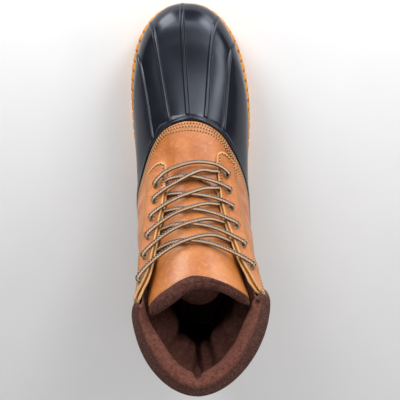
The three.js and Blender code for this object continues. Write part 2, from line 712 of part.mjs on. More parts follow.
function tongueRow(share) {
  const column = (key) => alongTable(TONGUE_ROWS.map((row) => [row.share, row[key]]), share);
  return { half: column("half"), lift: column("lift"), arch: column("arch"), tilt: column("tilt"), pad: column("pad") };
}

// A point of the tongue: across runs from -1 to 1, and sink is the way in from its face, as a share of its padding
function tonguePoint(across, share, sink) {
  const row = tongueRow(share);
  const half = (row.half * SHAFT_WIDTH) / 2;
  const level = throatLevel(share);
  const bend = across * TONGUE_BEND;
  const arch = row.arch * (1 - TONGUE_LEAN * across) * (SHAFT_WIDTH / 2);
  const fall = (arch * (1 - Math.cos(bend))) / (1 - Math.cos(TONGUE_BEND));
  const tilt = radians(row.tilt);
  const down = new THREE.Vector3(0, -Math.cos(tilt), -Math.sin(tilt));
  const pad = sink * row.pad * TONGUE_THICKNESS;
  const point = skin(0, level).addScaledVector(outwards(0, level), row.lift);
  point.x += (half * Math.sin(bend)) / Math.sin(TONGUE_BEND) - pad * Math.sin(0.8 * bend);
  return point.addScaledVector(down, fall + pad * Math.cos(0.8 * bend));
}

function tongue() {
  const rows = TONGUE_ROWS.map((row) => row.share);
  const face = (sink) => (s, share) => tonguePoint(2 * s - 1, share, sink);
  return wall(spread(10), rows, face(0), face(1));
}

// Insole

function insole() {
  const angles = SORTED_ANGLES;
  const under = SHELL_FLOOR + 1.5 * GAP;
  const ring = (level, inset, height) =>
    angles.map((angle) => {
      const edge = offSkin(angle, level, -SHELL_WALL - inset);
      return edge.setZ(soleTop(edge.y) + height);
    });
  const rings = [
    ring(0.3, 2.6, under),
    ring(0.5, 2.2, under + 0.4 * INSOLE_THICKNESS),
    ring(0.7, 2.4, under + INSOLE_THICKNESS),
  ];
  return stack(rings, angles.indexOf(Math.PI));
}

// Laces

function laceTube(points, steps) {
  const shape = new THREE.Shape();
  shape.absarc(0, 0, LACE / 2, 0, 2 * Math.PI);
  const curve = new THREE.CatmullRomCurve3(points, false, "centripetal");
  return solidOf(
    new THREE.ExtrudeGeometry(shape, { steps, curveSegments: 3, extrudePath: curve, bevelEnabled: false }),
  );
}

const laceOver = LACE / 2 + 1.5 * GAP;
function overEyelet(side, index) {
  const { at, out } = eyeletFrame(side, index);
  return at.clone().addScaledVector(out, overlayOut + EYELET_RIM + 2 * GAP + laceOver);
}

function overEyestay(side, level, walk) {
  const edge = throatAngle(side, level);
  return offSkin(side * (edge + angleStep(edge, level, walk)), level, overlayOut + laceOver + 0.6);
}

// A point over the tongue, or over the vamp ahead of it, at a share of the throat's gap
function overTongue(across, level, lift) {
  const share = throatShare(level);
  if (share < VAMP_LACE_SHARE) {
    return offSkin(across * throatAngle(Math.sign(across) || 1, level), level, leatherOut + laceOver + lift);
  }
  const half = (tongueRow(share).half * SHAFT_WIDTH) / 2;
  const gap = skin(throatAngle(Math.sign(across) || 1, level), level).x - middle(skin(0, level).y);
  const bend = Math.asin(clamp((Math.abs(across) * gap * Math.sin(TONGUE_BEND)) / half, 0, 1)) / TONGUE_BEND;
  return tonguePoint(Math.sign(across) * bend, share, -(laceOver + lift) / (tongueRow(share).pad * TONGUE_THICKNESS));
}

const VAMP_LACE_SHARE = 0.08;

// A strand comes from under one eyestay, crosses the tongue and enters the other side's next eyelet from above
function strand(side, index, lift) {
  const from = eyeletFrame(-side, index).level;
  const to = eyeletFrame(side, index + 1).level;
  const level = (t) => mix(from, to, t);
  return laceTube(
    [
      overTongue(-side * 0.84, level(0.17), 0.4),
      overTongue(-side * 0.4, level(0.28), 0.7 + lift),
      overTongue(0, level(0.45), 0.9 + lift),
      overTongue(side * 0.45, level(0.66), 1.2 + lift),
      overEyestay(side, level(0.84), 1),
      overEyelet(side, index + 1),
    ],
    10,
  );
}

function laceCross(index) {
  return geometryFrom(strand(-1, index, 0.55 * LACE).add(strand(1, index, 0)));
}

function laceBar() {
  const level = (share) => mix(eyeletFrame(-1, 0).level, eyeletFrame(1, 0).level, share) - LACE_BAR_LEAD;
  return geometryFrom(
    laceTube(
      [
        overEyelet(-1, 0),
        overEyestay(-1, level(0.15), 1),
        offSkin(-0.3, level(0.35), overlayOut + laceOver + 1),
        offSkin(0, level(0.5), overlayOut + laceOver + 1),
        offSkin(0.3, level(0.65), overlayOut + laceOver + 1),
        overEyestay(1, level(0.85), 1),
        overEyelet(1, 0),
      ],
      14,
    ),
  );
}

const finish = (color, roughness, metalness = 0) =>
  new THREE.MeshStandardMaterial({ color, roughness, metalness });
const NAVY_RUBBER = finish(0x30323c, 0.38);
const GUM_RUBBER = finish(0xc98a3c, 0.6);
const TAN_LEATHER = finish(0xc98450, 0.5);
const TONGUE_LEATHER = finish(0xdb914f, 0.5);
const BROWN_FLEECE = finish(0x4f3630, 0.95);
const BRASS = finish(0x8f8468, 0.35, 0.9);
const LACE_CORD = finish(0x8a7468, 0.85);

const boot = new THREE.Group();

function add(name, geometry, material) {
  const mesh = new THREE.Mesh(geometry, material);
  mesh.name = name;
  boot.add(mesh);
  return mesh;
}

const innerHoles = eyeletHoles(-1);
const outerHoles = eyeletHoles(1);
add("outsole", outsole(), GUM_RUBBER);
add("rubber_shell", rubberShell(), NAVY_RUBBER);
add("upper", upper([...innerHoles, ...outerHoles]), TAN_LEATHER);
add("eyestay_inner", eyestay(-1, innerHoles), TAN_LEATHER);
add("eyestay_outer", eyestay(1, outerHoles), TAN_LEATHER);
add("collar", collar(), BROWN_FLEECE);
add("tongue", tongue(), TONGUE_LEATHER);
add("insole", insole(), BROWN_FLEECE);
add("lace_bar", laceBar(), LACE_CORD);
for (let i = 0; i < EYELETS_A_SIDE - 1; i += 1) add(`lace_cross_${i + 1}`, laceCross(i), LACE_CORD);
for (const [label, side] of [["inner", -1], ["outer", 1]]) {
  for (let i = 0; i < EYELETS_A_SIDE; i += 1) {
    const made = eyelet(side, i);
    const mesh = add(`eyelet_${label}_${i + 1}`, made.geometry, BRASS);
    mesh.quaternion.copy(made.turn);
    mesh.position.copy(made.at);
  }
}

const box = new THREE.Box3().setFromObject(boot);
boot.position.set(-(box.min.x + box.max.x) / 2, -(box.min.y + box.max.y) / 2, -box.min.z);

export default boot;
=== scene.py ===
import math

import bmesh
import bpy
import numpy as np
from bpy.props import FloatProperty, FloatVectorProperty, PointerProperty
from mathutils import Matrix, Vector


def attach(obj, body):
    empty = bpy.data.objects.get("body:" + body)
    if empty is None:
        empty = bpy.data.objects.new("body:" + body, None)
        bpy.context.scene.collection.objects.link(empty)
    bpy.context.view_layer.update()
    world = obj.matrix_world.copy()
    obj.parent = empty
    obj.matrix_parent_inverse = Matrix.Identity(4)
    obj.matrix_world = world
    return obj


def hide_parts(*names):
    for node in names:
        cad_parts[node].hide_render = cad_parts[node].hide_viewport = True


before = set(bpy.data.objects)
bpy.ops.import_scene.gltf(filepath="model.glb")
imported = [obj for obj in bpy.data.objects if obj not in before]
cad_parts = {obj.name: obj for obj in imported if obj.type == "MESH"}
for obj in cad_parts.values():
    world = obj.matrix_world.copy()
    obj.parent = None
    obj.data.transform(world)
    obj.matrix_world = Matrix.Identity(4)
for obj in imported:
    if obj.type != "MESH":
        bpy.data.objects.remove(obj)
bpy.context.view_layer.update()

bl_info = {
    "name": "Duck Boot",
    "version": (1, 0, 0),
    "blender": (4, 5, 0),
    "location": "3D View > Sidebar > Duck Boot",
    "description": "Makes the visible pieces of a lined duck boot round its packed solids",
    "category": "Add Mesh",
}

# Lengths are in millimetres from under the heel, as in the part's source, until a mesh is placed
CAD_SHIFT = np.array([4.52, -147.73, 0.0])
METRES = 0.001

LENGTH = 304
BALL_WIDTH = 104
INFLARE = 11.5
VAMP_RISE = 65.5
SIDE_RISE = 36
COUNTER_RISE = 44
COLLAR_LENGTH = 92
COLLAR_LEAN = 4
COLLAR_RISE = 149
THROAT_RISE = 142
SHAFT_WIDTH = 98
HEEL_HEIGHT = 26.5
FOREFOOT_HEIGHT = 14.5
TOE_SPRING = 9
ARCH_RISE = 9
SOLE_RIM = 3.2
SHELL_WALL = 3
SHELL_FLOOR = 3
BAND_WIDTH = 14.4
EDGE_SWING = 7
LEATHER_OUT = 0.5
LEATHER_IN = -1.5
OVERLAY_IN = 0.9
OVERLAY_OUT = 2.5
EYESTAY_WIDTH = 21
EYESTAY_SETBACK = 1
EYESTAY_DRAW_BACK = 2.8
EYESTAY_CORNER = 13
EYESTAY_FRONT = -0.36
EYESTAY_NARROWING = 8
EYESTAY_SKEW = 5
COLLAR_HEIGHT = 27
COLLAR_SETBACK = 3
TONGUE_THICKNESS = 7
INSOLE_THICKNESS = 5
EYELETS_A_SIDE = 6
EYELET_INSET = 9.5
EYELET_FIRST = -0.1
EYELET_LAST = 0.82
LACE_BAR_LEAD = 0.16

# The toe ribs: the angle round the last of each upper end, and how much further out its lower end lies
RIBS = ((-67, 2), (-39.5, 0), (-5, 2.5), (28.5, 6), (57, 1))
RIB_ANGLES, RIB_LEANS = np.radians(RIBS).T
SIDE_ANGLES = (77, 85, 91, 94.5, 98.5, 103.5, 109.5, 116.5, 124.5, 133, 142, 152, 163, 173)
FRONT_ANGLES = (4, 13, 21, 37, 47, 66, -13, -21, -30, -48, -57)

# Rings of the last. front, wide and back are shares of the length, half is a share of half the ball width,
# and vamp, side and counter are shares of the rises of the shell's edge.
RING_COLUMNS = ("front", "wide", "back", "vamp", "side", "counter", "half", "toe", "heel", "taper")
FOOT_ROWS = (
    (0.986, 0.665, 0.013, 0, 0, 0, 0.99, 2.26, 3.2, 0.72),
    (0.9955, 0.66, 0.005, 0.19, 0.26, 0.24, 1.008, 2.3, 3, 0.76),
    (0.985, 0.65, 0.002, 0.38, 0.46, 0.44, 1.006, 2.32, 2.9, 0.78),
    (0.95, 0.635, 0.002, 0.55, 0.6, 0.56, 0.997, 2.28, 2.8, 0.8),
    (0.888, 0.605, 0.003, 0.655, 0.68, 0.65, 0.985, 2.2, 2.7, 0.82),
    (0.79, 0.545, 0.005, 0.78, 0.75, 0.74, 0.971, 2.1, 2.5, 0.84),
    (0.684, 0.435, 0.009, 0.94, 0.84, 0.85, 0.96, 1.92, 2.35, 0.87),
    (0.655, 0.411, 0.0115, 1, 1, 1, 0.955, 1.82, 2.25, 0.89),
)
# Rings above the shell's edge, as shares of the way from the edge to the collar
SHAFT_ROWS = (
    (0.243, 0.12, -0.2, 0.111, 0.154, 0.152, 0.985, 1.84, 2.1, 0.93),
    (0.459, 0.27, -0.6, 0.245, 0.327, 0.343, 0.972, 1.9, 2, 0.95),
    (0.658, 0.49, -0.667, 0.46, 0.54, 0.543, 0.965, 1.96, 1.95, 0.97),
    (0.832, 0.75, -0.067, 0.73, 0.77, 0.771, 0.975, 2, 1.9, 1),
    (1, 1, 1, 1, 1, 1, 1, 2, 1.85, 1),
)
COLLAR_WIDE_SHARE = 0.71
EDGE = len(FOOT_ROWS) - 1
TOP = EDGE + len(SHAFT_ROWS)
MIDDLE_LINE = (
    (0, 0.17), (0.18, -0.03), (0.25, 0.02), (0.32, 0.3), (0.4, 0.52), (0.67, 0.72), (0.88, 0.98),
    (1, 1.04),
)
# How the shell's edge swings about the last's ring: degrees round the boot, and shares of the swing
EDGE_WAVE = (
    (-180, 0), (-125, 0.7), (-88, 1), (-71, 0), (-54, -0.77), (-28, -0.37), (0, -0.19),
    (26, -0.29), (54, -0.46), (71, 0.04), (92, 0.34), (120, 0.5), (180, 0),
)
THROAT_START = EDGE + 1.8
THROAT_GAPS = ((-0.4, 0.41), (0, 0.44), (0.25, 0.49), (0.5, 0.59), (0.75, 0.69), (0.92, 0.81), (1, 0.93))
THROAT_LEAN = 0.045

TONGUE_COLUMNS = ("share", "half", "lift", "arch", "tilt", "pad")
TONGUE_ROWS = (
    (-0.2, 0.4, -3, 0.12, 85, 0.5),
    (-0.02, 0.5, -2.6, 0.22, 78, 0.55),
    (0.12, 0.55, -0.4, 0.36, 70, 0.6),
    (0.3, 0.62, 2.6, 0.5, 60, 0.7),
    (0.5, 0.69, 4.4, 0.58, 50, 0.8),
    (0.7, 0.73, 5, 0.59, 42, 0.9),
    (0.88, 0.765, 4.6, 0.54, 35, 1),
    (1.02, 0.79, 4, 0.49, 29, 1),
    (1.12, 0.79, 3.6, 0.44, 26, 0.9),
)
TONGUE_LEAN = 0.1
TONGUE_BEND = math.radians(75)
# Where the tongue's leather ends and where its rolled fleece rim ends, from one side to the other
TONGUE_ENDS = (
    # across, leather, rim
    (-1, 1.13, 1.19), (-0.78, 1.14, 1.225), (-0.48, 1.123, 1.22), (-0.22, 1.075, 1.16),
    (-0.08, 1.055, 1.13), (0.12, 1.065, 1.12), (0.35, 1.09, 1.125), (0.66, 1.112, 1.14), (1, 1.09, 1.13),
)


def mix(a, b, t):
    return a + (b - a) * t


def smooth(x, low, high):
    t = np.clip((x - low) / (high - low), 0, 1)
    return t * t * (3 - 2 * t)


def hump(x, middle, half):
    """A smooth bump that is 1 at the middle and fades out about two halves away."""
    return np.exp(-(((x - middle) / half) ** 2))


def catmull(a, b, c, d, t):
    bend = 2 * a - 5 * b + 4 * c - d + (3 * b - a - 3 * c + d) * t
    return b + 0.5 * t * (c - a + t * bend)


def along_table(table, x):
    """The value at x on the smooth curve through a table of places and values."""
    places, values = np.array(table, float).T
    x = np.asarray(x, float)
    i = np.clip(np.searchsorted(places, x) - 1, 0, len(places) - 2)
    t = np.clip((x - places[i]) / (places[i + 1] - places[i]), 0, 1)
    before = values[np.maximum(i - 1, 0)]
    after = values[np.minimum(i + 2, len(values) - 1)]
    return catmull(before, values[i], values[i + 1], after, t)


def middle(y):
    return -INFLARE * along_table(MIDDLE_LINE, y / LENGTH)


def toe_lift(share):
    return TOE_SPRING * np.clip((share - 0.66) / 0.34, 0, 2) ** 2


def sole_top(y):
    share = y / LENGTH
    return mix(HEEL_HEIGHT, FOREFOOT_HEIGHT, smooth(share, 0.2, 0.56)) + toe_lift(share)


def sole_under(y):
    share = y / LENGTH
    arch = smooth(share, 0.275, 0.295) * (1 - smooth(share, 0.3, 0.5))
    return ARCH_RISE * arch + toe_lift(share)


def ring_sizes():
    """The rings of the last in millimetres, one array a column."""
    foot = {key: np.array([row[i] for row in FOOT_ROWS], float) for i, key in enumerate(RING_COLUMNS)}
    shaft = {key: np.array([row[i] for row in SHAFT_ROWS], float) for i, key in enumerate(RING_COLUMNS)}
    scales = {"front": LENGTH, "wide": LENGTH, "back": LENGTH, "half": BALL_WIDTH / 2}
    scales.update(vamp=VAMP_RISE, side=SIDE_RISE, counter=COUNTER_RISE)
    for key, scale in scales.items():
        foot[key] = foot[key] * scale
    front = COLLAR_LENGTH - COLLAR_LEAN
    collar = {"front": front, "wide": mix(-COLLAR_LEAN, front, COLLAR_WIDE_SHARE), "back": -COLLAR_LEAN}
    collar.update(vamp=THROAT_RISE, side=THROAT_RISE, counter=COLLAR_RISE)
    for key, value in collar.items():
        shaft[key] = mix(foot[key][-1], value, shaft[key])
    shaft["half"] = shaft["half"] * SHAFT_WIDTH / 2
    return {key: np.concatenate([foot[key], shaft[key]]) for key in RING_COLUMNS}


RINGS = ring_sizes()


def ring_at(level):
    last = len(RINGS["front"]) - 1
    i = np.clip(np.floor(level).astype(int), 0, last - 1)
    t = level - i
    made = {}
    for key, values in RINGS.items():
        b = values[i]
        c = values[i + 1]
        smoothed = catmull(values[np.maximum(i - 1, 0)], b, c, values[np.minimum(i + 2, last)], t)
        made[key] = np.where(t <= 1, smoothed, mix(b, c, t))
    return made


def gather(level):
    """How much the angles are gathered towards the toe."""
    foot = np.clip(level / (EDGE - 1), 0, 1)
    shaft = np.clip((level - EDGE) / (TOP - EDGE), 0, 1)
    return 0.45 * foot * (1 - 0.8 * shaft)


def angle_across(share, level):
    """The angle of the place ahead of the widest line that lies at a share of the half width."""
    turn = np.arcsin(share ** (ring_at(level)["toe"] / 2))
    angle = turn
    for _ in range(20):
        angle = turn + gather(level) * np.sin(angle)
    return angle


def skin(angle, level):
    """Points of the last's skin: angle is 0 at the toe and pi at the heel, and level counts the rings."""
    angle, level = np.broadcast_arrays(np.asarray(angle, float), np.asarray(level, float))
    ring = ring_at(level)
    turn = angle - gather(level) * np.sin(angle)
    ahead = np.cos(turn) >= 0
    power = 2 / np.where(ahead, ring["toe"], ring["heel"])
    along = np.abs(np.cos(turn)) ** power
    across = np.sign(np.sin(turn)) * np.abs(np.sin(turn)) ** power
    y = mix(ring["wide"], np.where(ahead, ring["front"], ring["back"]), along)
    rise = mix(ring["side"], np.where(ahead, ring["vamp"], ring["counter"]), along)
    narrowing = np.where(ahead, 1, mix(1, ring["taper"], smooth(along, 0, 0.75)))
    x = middle(y) + ring["half"] * narrowing * across
    return np.stack([x, y, sole_top(y) + rise], axis=-1)


STEP = 0.02


def unit(vectors):
    return vectors / np.maximum(np.linalg.norm(vectors, axis=-1, keepdims=True), 1e-9)


def along_angle(angle, level):
    return (skin(angle + STEP, level) - skin(angle - STEP, level)) / (2 * STEP)


def along_level(angle, level):
    return (skin(angle, level + STEP) - skin(angle, level - STEP)) / (2 * STEP)


def outwards(angle, level):
    return unit(np.cross(along_level(angle, level), along_angle(angle, level)))


def off_skin(angle, level, out):
    return skin(angle, level) + outwards(angle, level) * np.asarray(out, float)[..., None]


def angle_step(angle, level, distance):
    return distance / np.linalg.norm(along_angle(angle, level), axis=-1)


def level_step(angle, level, distance):
    return distance / np.linalg.norm(along_level(angle, level), axis=-1)


def wrapped(angle):
    return np.arctan2(np.sin(angle), np.cos(angle))


def edge_level(angle):
    """The level of the shell's upper edge."""
    return EDGE + level_step(angle, EDGE, EDGE_SWING * along_table(EDGE_WAVE, np.degrees(wrapped(angle))))


def throat_share(level):
    return (level - THROAT_START) / (TOP - THROAT_START)


def throat_level(share):
    return mix(THROAT_START, TOP, share)


def throat_angle(side, level):
    share = np.clip(throat_share(level), -0.4, 1)
    gap = along_table(THROAT_GAPS, share) - side * THROAT_LEAN * smooth(share, 0.85, 1)
    return angle_across(gap, level)


def skew_level(side, level):
    return level - side * level_step(math.radians(40), level, EYESTAY_SKEW)


def leather_tops():
    """The leather's top edge by angle: at the top in the throat's corners, under the collar behind them."""
    degrees = list(FRONT_ANGLES) + list(SIDE_ANGLES) + [-angle for angle in SIDE_ANGLES] + [180]
    angles = np.sort(np.concatenate([np.radians(degrees), RIB_ANGLES]) % (2 * math.pi))
    turn = wrapped(angles)
    side = np.where(turn < 0, -1, 1)
    corner = throat_angle(side, np.full(len(turn), float(TOP)))
    drop = smooth(np.abs(turn), corner + math.radians(4), corner + math.radians(34))
    return angles, TOP - 0.02 - drop * level_step(turn, TOP - 0.6, COLLAR_HEIGHT)


LEATHER_TOPS = leather_tops()


def leather_top(angle):
    return np.interp(angle, *LEATHER_TOPS, period=2 * math.pi)


def leather_low(angle):
    return edge_level(angle) + level_step(angle, EDGE, 0.5)


# Meshes

# Distances in metres under which corners are welded in a grid and at a seam, and edges are dropped
WELD_GRID = 2e-6
WELD_SEAM = 5e-6
THIN_EDGE = 1e-7
# A place inside the boot, which the faces of open pieces look away from
INSIDE = np.array([0.0, 120.0, 40.0])


def place(points):
    """Millimetres from under the heel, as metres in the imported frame."""
    return (points + CAD_SHIFT) * METRES


def grid_mesh(across, along, shape, pick=None):
    """A bmesh grid of cells, with each corner at the point that shape gives for u and v from 0 to 1."""
    bm = bmesh.new()
    bm.loops.layers.uv.new("UVMap")
    bmesh.ops.create_grid(bm, x_segments=across, y_segments=along, size=0.5, calc_uvs=True)
    corners = np.array([corner.co for corner in bm.verts])
    u = corners[:, 0] + 0.5
    v = corners[:, 1] + 0.5
    if pick:
        middles = np.array([face.calc_center_median() for face in bm.faces])
        for face, number in zip(bm.faces, pick(middles[:, 0] + 0.5, middles[:, 1] + 0.5)):
            face.material_index = int(number)
    for corner, point in zip(bm.verts, place(shape(u, v))):
        corner.co = point
    bmesh.ops.remove_doubles(bm, verts=bm.verts, dist=WELD_GRID)
    bmesh.ops.dissolve_degenerate(bm, dist=THIN_EDGE, edges=bm.edges)
    return bm


def scale_uv(bm, across, along):
    layer = bm.loops.layers.uv.active
    for face in bm.faces:
        for loop in face.loops:
            loop[layer].uv.x *= across
            loop[layer].uv.y *= along


def face_outwards(bm, closed):
    """Turns the faces outwards: by the shape itself if it is closed, or away from the boot's inside."""
    if closed:
        bmesh.ops.recalc_face_normals(bm, faces=bm.faces)
        return
    inside = Vector(place(INSIDE))
    outward = 0
    for face in bm.faces:
        outward += (face.calc_center_median() - inside).dot(face.normal) * face.calc_area()
    if outward < 0:
        bmesh.ops.reverse_faces(bm, faces=bm.faces)


def joined(meshes, closed):
    """One bmesh from several, each facing outwards."""
    whole = bmesh.new()
    for bm in meshes:
        bm.normal_update()
        face_outwards(bm, closed)
        part = bpy.data.meshes.new("part")
        bm.to_mesh(part)
        bm.free()
        whole.from_mesh(part)
        bpy.data.meshes.remove(part)
    return whole


def make_piece(name, meshes, materials, replaces=(), closed=True):
    """One object from one or more meshes, which rides on the boot's body."""
    whole = joined(meshes, closed)
    mesh = bpy.data.meshes.new(name)
    whole.to_mesh(mesh)
    whole.free()
    mesh.polygons.foreach_set("use_smooth", [True] * len(mesh.polygons))
    return show(name, mesh, materials, replaces)


def show(name, mesh, materials, replaces=()):
    piece = bpy.data.objects.new(name, mesh)
    bpy.context.scene.collection.objects.link(piece)
    for material in materials:
        mesh.materials.append(material)
    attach(piece, "root")
    if replaces:
        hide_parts(*replaces)
    return piece


def thicken(piece, thickness, rim_material=0, bevel=0.0):
    """A wall inwards from the piece's faces, with its raw edge in another material."""
    wall = piece.modifiers.new("wall", "SOLIDIFY")
    wall.thickness = thickness * METRES
    wall.offset = -1
    wall.material_offset_rim = rim_material
    if bevel:
        edge = piece.modifiers.new("edge", "BEVEL")
        edge.width = bevel * METRES
        edge.segments = 2
        edge.limit_method = "ANGLE"
        edge.angle_limit = math.radians(50)


def route(points, spacing):
    """Points at an even spacing on the smooth curve through some points."""
    points = np.array(points, float)
    ends = [2 * points[0] - points[1], *points, 2 * points[-1] - points[-2]]
    made = []
    for p0, p1, p2, p3 in zip(ends, ends[1:], ends[2:], ends[3:]):
        gaps = [max(np.linalg.norm(b - a), 1e-6) ** 0.5 for a, b in ((p0, p1), (p1, p2), (p2, p3))]
        lead = ((p1 - p0) / gaps[0] - (p2 - p0) / (gaps[0] + gaps[1]) + (p2 - p1) / gaps[1]) * gaps[1]
        trail = ((p2 - p1) / gaps[1] - (p3 - p1) / (gaps[1] + gaps[2]) + (p3 - p2) / gaps[2]) * gaps[1]
        t = np.linspace(0, 1, 24, endpoint=False)[:, None]
        cubic = 2 * p1 - 2 * p2 + lead + trail
        square = -3 * p1 + 3 * p2 - 2 * lead - trail
        made.append(p1 + lead * t + square * t ** 2 + cubic * t ** 3)
    fine = np.concatenate([*made, points[-1:]])
    lengths = np.concatenate([[0], np.cumsum(np.linalg.norm(np.diff(fine, axis=0), axis=1))])
    count = max(int(round(lengths[-1] / spacing)), 2)
    wanted = np.linspace(0, lengths[-1], count + 1)
    return np.stack([np.interp(wanted, lengths, fine[:, k]) for k in range(3)], axis=1)


def frames_along(path):
    """A tangent and two square directions at each point of a path, level at its middle, untwisted."""
    tangents = unit(np.gradient(path, axis=0))
    half = len(path) // 2
    sides = np.zeros_like(path)
    sides[half] = unit(np.cross(tangents[half], [0.0, 0.0, 1.0]))
    for order in (range(half + 1, len(path)), range(half - 1, -1, -1)):
        side = sides[half]
        for i in order:
            side = unit(side - tangents[i] * np.dot(side, tangents[i]))
            sides[i] = side
    return tangents, sides, np.cross(sides, tangents)


def scatter(name, template, centres, tangents, normals, material):
    """Copies of a small bmesh at each centre, with its X along the tangent and its Z along the normal."""
    corners = np.array([corner.co for corner in template.verts])
    template.verts.index_update()
    faces = [[corner.index for corner in face.verts] for face in template.faces]
    template.free()
    tangents = unit(tangents)
    normals = unit(normals - tangents * np.sum(normals * tangents, axis=1, keepdims=True))
    sides = np.cross(normals, tangents)
    points = (
        centres[:, None]
        + corners[None, :, :1] * tangents[:, None]
        + corners[None, :, 1:2] * sides[:, None]
        + corners[None, :, 2:] * normals[:, None]
    )
    count = len(corners)
    all_faces = [[index + k * count for index in face] for k in range(len(centres)) for face in faces]
    mesh = bpy.data.meshes.new(name)
    mesh.from_pydata(place(points.reshape(-1, 3)).tolist(), [], all_faces)
    mesh.polygons.foreach_set("use_smooth", [True] * len(mesh.polygons))
    return show(name, mesh, [material])


# Materials

class Recipe:
    """Builds one material's nodes."""

    def __init__(self, name):
        self.material = bpy.data.materials.new(name)
        self.material.use_nodes = True
        self.tree = self.material.node_tree
        self.shader = self.tree.nodes["Principled BSDF"]
        self.coordinates = self.tree.nodes.new("ShaderNodeTexCoord")

    def node(self, kind, inputs, **settings):
        made = self.tree.nodes.new(kind)
        for key, value in settings.items():
            setattr(made, key, value)
        for key, value in inputs.items():
            self.put(made.inputs[key], value)
        return made

    def put(self, socket, value):
        if isinstance(value, bpy.types.NodeSocket):
            self.tree.links.new(value, socket)
        else:
            socket.default_value = value

    def set(self, **values):
        for key, value in values.items():
            self.put(self.shader.inputs[key.replace("_", " ")], value)

    def texture(self, kind, size, inputs):
        """A texture with features of about that size in millimetres."""
        inputs = {"Vector": self.coordinates.outputs["Object"], "Scale": 1 / (size * METRES), **inputs}
        return self.node(kind, inputs).outputs

    def noise(self, size, detail, roughness=0.5, distortion=0.0):
        inputs = {"Detail": detail, "Roughness": roughness, "Distortion": distortion}
        return self.texture("ShaderNodeTexNoise", size, inputs)[0]

    def cells(self, size):
        return self.texture("ShaderNodeTexVoronoi", size, {})["Distance"]

    def math(self, operation, a, b=0.0, c=0.0):
        return self.node("ShaderNodeMath", {0: a, 1: b, 2: c}, operation=operation).outputs[0]

    def ramp(self, value, low, high, out_low=0.0, out_high=1.0):
        inputs = {"Value": value, "From Min": low, "From Max": high}
        inputs.update({"To Min": out_low, "To Max": out_high})
        return self.node("ShaderNodeMapRange", inputs, interpolation_type="SMOOTHSTEP").outputs[0]

    def blend(self, share, a, b):
        # a Mix node's colours are its seventh and eighth inputs, and its third output
        return self.node("ShaderNodeMix", {0: share, 6: a, 7: b}, data_type="RGBA").outputs[2]

    def bump(self, height, distance, strength, under=None):
        inputs = {"Height": height, "Distance": distance * METRES, "Strength": strength}
        if under is not None:
            inputs["Normal"] = under
        return self.node("ShaderNodeBump", inputs).outputs[0]


def colour(red, green, blue):
    """A colour from screen values up to 255, as the shader takes it."""
    return tuple((value / 255 / 12.92 if value < 10.3 else ((value / 255 + 0.055) / 1.055) ** 2.4)
                 for value in (red, green, blue)) + (1.0,)


def shaded(tint, share):
    """A darker or paler tone of a colour."""
    return tuple(value * share for value in tint[:3]) + (1.0,)


def rubber_material(tint):
    recipe = Recipe("navy rubber")
    cloud = recipe.noise(30, 3)
    grain = recipe.noise(0.5, 2)
    recipe.set(
        Base_Color=recipe.blend(recipe.ramp(cloud, 0.3, 0.75), tuple(tint), shaded(tint, 1.5)),
        Roughness=recipe.ramp(cloud, 0.25, 0.75, 0.2, 0.27),
        Normal=recipe.bump(grain, 0.02, 0.4),
        Specular_IOR_Level=0.5,
        Specular_Tint=(0.8, 0.87, 1.0, 1.0),
    )
    return recipe.material


def gum_material(name, tint):
    recipe = Recipe(name)
    cloud = recipe.noise(12, 3)
    recipe.set(
        Base_Color=recipe.blend(recipe.ramp(cloud, 0.3, 0.7), tuple(tint), shaded(tint, 0.72)),
        Roughness=recipe.ramp(cloud, 0.3, 0.7, 0.5, 0.65),
        Normal=recipe.bump(recipe.noise(0.7, 2), 0.05, 0.5),
    )
    return recipe.material


def leather_material(name, dark, light, worn):
    """Waxed leather: clouds of two tones, a fine grain with pores, and paler where it is worn."""
    recipe = Recipe(name)
    cloud = recipe.noise(26, 4, 0.6, distortion=0.6)
    mottle = recipe.noise(3.2, 3, 0.6)
    base = recipe.blend(recipe.ramp(cloud, 0.3, 0.7), tuple(dark), tuple(light))
    base = recipe.blend(recipe.ramp(mottle, 0.45, 0.8, 0, 0.35), base, tuple(worn))
    pores = recipe.cells(0.7)
    grain = recipe.math("ADD", recipe.noise(0.6, 2), recipe.math("MULTIPLY", pores, 0.6))
    wrinkle = recipe.bump(recipe.noise(2.2, 3, 0.6), 0.25, 0.35)
    recipe.set(
        Base_Color=base,
        Roughness=recipe.ramp(recipe.noise(6, 3), 0.3, 0.7, 0.38, 0.52),
        Normal=recipe.bump(grain, 0.07, 0.5, wrinkle),
        Coat_Weight=0.35,
        Coat_Roughness=0.3,
        Specular_IOR_Level=0.45,
    )
    return recipe.material


def raw_edge_material(tint):
    recipe = Recipe("raw leather edge")
    fibre = recipe.noise(0.5, 3)
    recipe.set(
        Base_Color=recipe.blend(recipe.ramp(fibre, 0.35, 0.7), tuple(tint), shaded(tint, 0.75)),
        Roughness=0.85,
        Normal=recipe.bump(fibre, 0.1, 0.6),
    )
    return recipe.material


def thread_material(tint):
    recipe = Recipe("cream thread")
    twist = recipe.noise(0.35, 1)
    recipe.set(
        Base_Color=recipe.blend(twist, tuple(tint), shaded(tint, 0.65)),
        Roughness=0.7,
        Normal=recipe.bump(twist, 0.05, 0.5),
    )
    return recipe.material


# Flat dark marks between the stitches: painted shade for the needle holes
def hole_shade_material():
    recipe = Recipe("needle hole")
    shade = recipe.blend(recipe.noise(0.5, 1), colour(40, 20, 12), colour(84, 46, 26))
    recipe.set(Base_Color=shade, Roughness=0.9)
    return recipe.material


